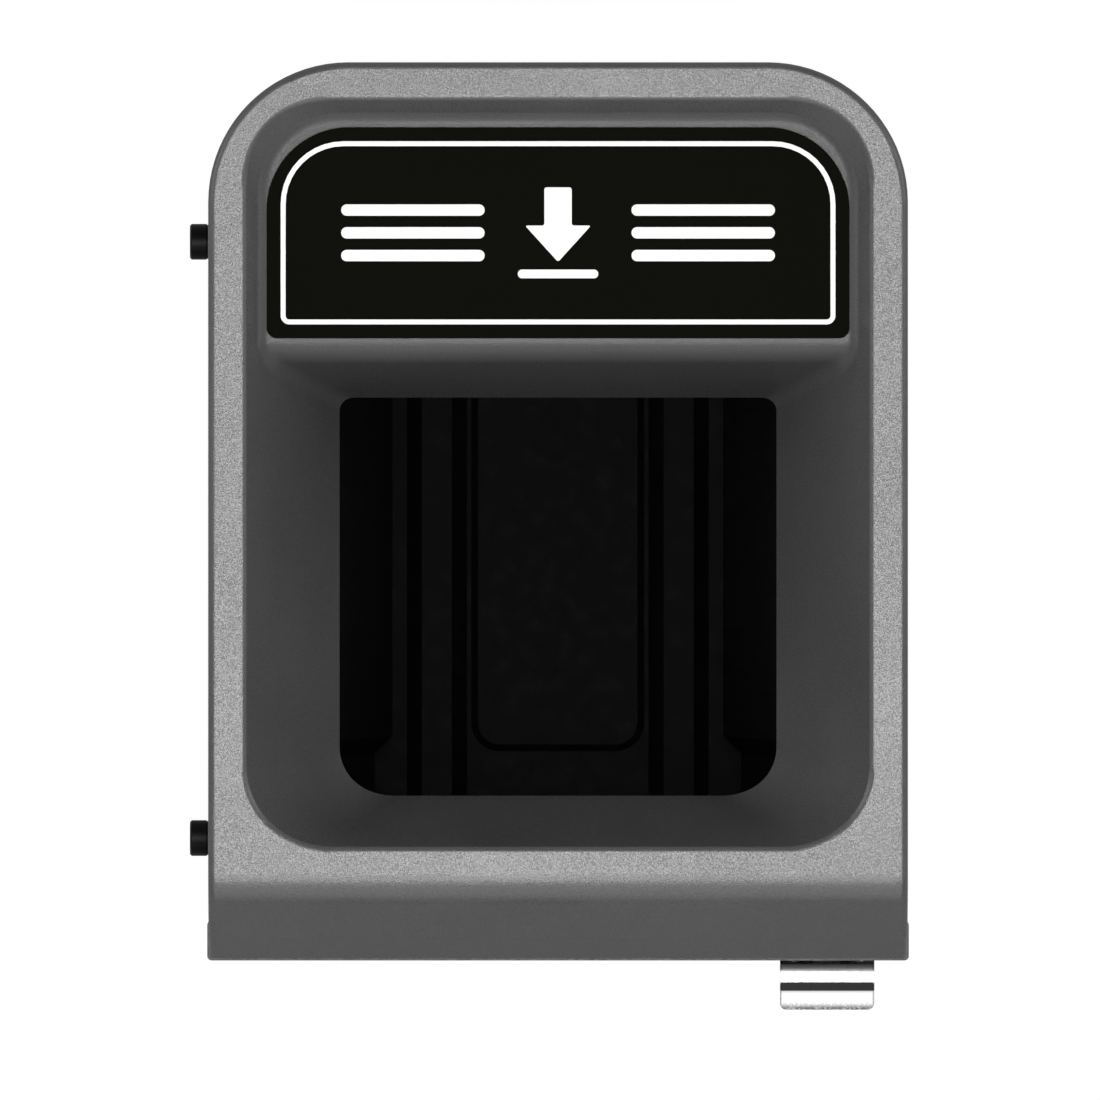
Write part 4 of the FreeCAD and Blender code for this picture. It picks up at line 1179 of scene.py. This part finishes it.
@dataclass
class PedalAssembly(SubAssembly):
    """The foot pedal that swings on its shaft and pulls the latch tooth."""

    body: Body = Body.PEDAL
    edge_round: float = 0.7 * MM
    edge_angle: float = 60.0

    def build(self) -> None:
        """Dresses the pedal's nodes and eases the edges of its plate."""
        plate = eased(copied("pedal_plate"), self.edge_round, self.edge_angle)
        self.piece("pedal_plate_eased", plate, Surface.CHROME, "pedal_plate")
        self.dress("pedal_lever", Surface.ZINC)
        self.dress("latch_tooth", Surface.ZINC)


@dataclass
class Studio:
    """A pale floor, soft light and the camera straight above."""

    lens: float = 1300.0
    sensor: float = 36.0
    sight: float = 200.0
    eye: Triple = (-0.0046, -0.0028, 23.64)
    ambient: float = 0.18
    ceiling: float = 0.04
    ceiling_rise: Pair = (0.06, 0.22)
    aim: Triple = (0.0, 0.0, 0.5)
    overhead: float = 62.0
    softbox: float = 1.8
    softbox_at: Triple = (0.0, -0.18, 3.4)
    front: float = 18.0
    front_size: float = 2.2
    front_at: Triple = (0.0, -2.7, 3.35)
    flagged: str = "pedal_plate_eased"
    side: float = 22.0
    side_size: float = 2.0
    side_out: float = 3.2
    side_at: Pair = (1.15, 2.6)
    floor_size: float = 40.0
    floor_cells: int = 8
    floor_plain: Triple = grey(0.62)
    floor_shadow: Triple = grey(0.25)
    floor_glow: float = 0.90
    floor_gloss: float = 0.30
    gloss_near: float = 0.6
    gloss_far: float = 1.0

    def build(self) -> None:
        """Sets the floor, the world, the lamps and the camera."""
        bpy.context.scene.view_settings.view_transform = "Standard"
        self.floor()
        self.world()
        self.lamp("overhead_softbox", self.softbox_at, self.softbox, self.overhead)
        self.flag(self.lamp("front_fill", self.front_at, self.front_size, self.front))
        for name, out in (("side_fill_left", -self.side_out), ("side_fill_right", self.side_out)):
            self.lamp(name, (out, *self.side_at), self.side_size, self.side)
        self.camera()

    def rays(self, graph: Graph) -> tuple[Socket, Socket]:
        """Tells rays that show the background from rays that light the object.

        Args:
            graph: tree that gets the test.

        Returns:
            1 for the camera's own rays, and 1 for those and for rays seen in gloss or through glass.
        """
        path = graph.add("ShaderNodeLightPath").outputs
        mirrored = graph.math("MAXIMUM", path["Is Glossy Ray"], path["Is Transmission Ray"])
        return path["Is Camera Ray"], graph.math("MAXIMUM", path["Is Camera Ray"], mirrored)

    def world(self) -> None:
        """Makes a white room with a dim ceiling, which lights the object softly."""
        world = bpy.data.worlds.new("studio")
        graph = Graph(world)
        camera, shown = self.rays(graph)
        height = graph.upward(graph.coordinates["Generated"])
        room = graph.math("MAXIMUM", camera, graph.span(height, *self.ceiling_rise, 1.0, self.ceiling))
        strength = graph.add("ShaderNodeMix", {0: shown, 2: self.ambient, 3: room}, data_type="FLOAT")
        sockets = {"Color": (1.0, 1.0, 1.0, 1.0), "Strength": strength.outputs[0]}
        back = graph.add("ShaderNodeBackground", sockets)
        graph.add("ShaderNodeOutputWorld", {"Surface": back.outputs[0]})
        bpy.context.scene.world = world

    def floor(self) -> None:
        """Lays the pale floor: white to the camera but for the shadow, and dimmer in gloss from far off."""
        shape = bmesh.new()
        bmesh.ops.create_grid(shape, x_segments=self.floor_cells, y_segments=self.floor_cells,
                              size=self.floor_size)
        mesh = bpy.data.meshes.new("floor")
        shape.to_mesh(mesh)
        shape.free()
        made = bpy.data.objects.new("floor", mesh)
        bpy.context.scene.collection.objects.link(made)
        graph = Graph(bpy.data.materials.new("pale_floor"))
        camera, shown = self.rays(graph)
        reach = graph.add("ShaderNodeLightPath").outputs["Ray Length"]
        faded = graph.span(reach, self.gloss_near, self.gloss_far, self.floor_glow, self.floor_gloss)
        level = graph.math("MAXIMUM", graph.math("MULTIPLY", camera, self.floor_glow), faded)
        plain = graph.add("ShaderNodeBsdfDiffuse", {"Color": (*self.floor_plain, 1.0)})
        shadow = graph.add("ShaderNodeBsdfDiffuse", {"Color": (*self.floor_shadow, 1.0)})
        glow = graph.add("ShaderNodeEmission", {"Color": (1.0, 1.0, 1.0, 1.0), "Strength": level})
        white = graph.add("ShaderNodeAddShader", {0: shadow.outputs[0], 1: glow.outputs[0]})
        either = graph.add("ShaderNodeMixShader", {0: shown, 1: plain.outputs[0], 2: white.outputs[0]})
        graph.add("ShaderNodeOutputMaterial", {"Surface": either.outputs[0]})
        mesh.materials.append(graph.owner)

    def lamp(self, name: str, at: Triple, size: float, power: float) -> bpy.types.Object:
        """Hangs a round soft lamp that points at the object.

        Args:
            name: name of the lamp.
            at: where it hangs, in metres.
            size: its diameter.
            power: its power in watts.

        Returns:
            The lamp.
        """
        data = bpy.data.lights.new(name, "AREA")
        data.shape = "DISK"
        data.size = size
        data.energy = power
        made = bpy.data.objects.new(name, data)
        made.location = at
        made.rotation_euler = (Vector(at) - Vector(self.aim)).to_track_quat("Z", "Y").to_euler()
        made.visible_camera = False
        bpy.context.scene.collection.objects.link(made)
        return made

    def flag(self, lamp: bpy.types.Object) -> None:
        """Keeps a lamp off the chrome, as a black card beside it does.

        Args:
            lamp: the lamp.
        """
        card = bpy.data.collections.new("black_card")
        card.objects.link(bpy.data.objects[self.flagged])
        card.collection_objects[0].light_linking.link_state = "EXCLUDE"
        lamp.light_linking.receiver_collection = card

    def camera(self) -> None:
        """Sets the camera high above the lid."""
        data = bpy.data.cameras.new("plan_view")
        data.sensor_width = self.sensor
        data.lens = self.lens
        data.clip_end = self.sight
        made = bpy.data.objects.new("plan_view", data)
        made.location = self.eye
        bpy.context.scene.collection.objects.link(made)
        bpy.context.scene.camera = made


def main() -> None:
    """Builds the sub-assemblies in order, then the studio."""
    logging.basicConfig(level=logging.INFO, format="%(name)s: %(message)s")
    for part in (LidAssembly(), CabinetAssembly(), DoorAssembly(), PedalMounting(), PedalAssembly()):
        part.build()
    Studio().build()


if __name__ == "__main__":
    main()
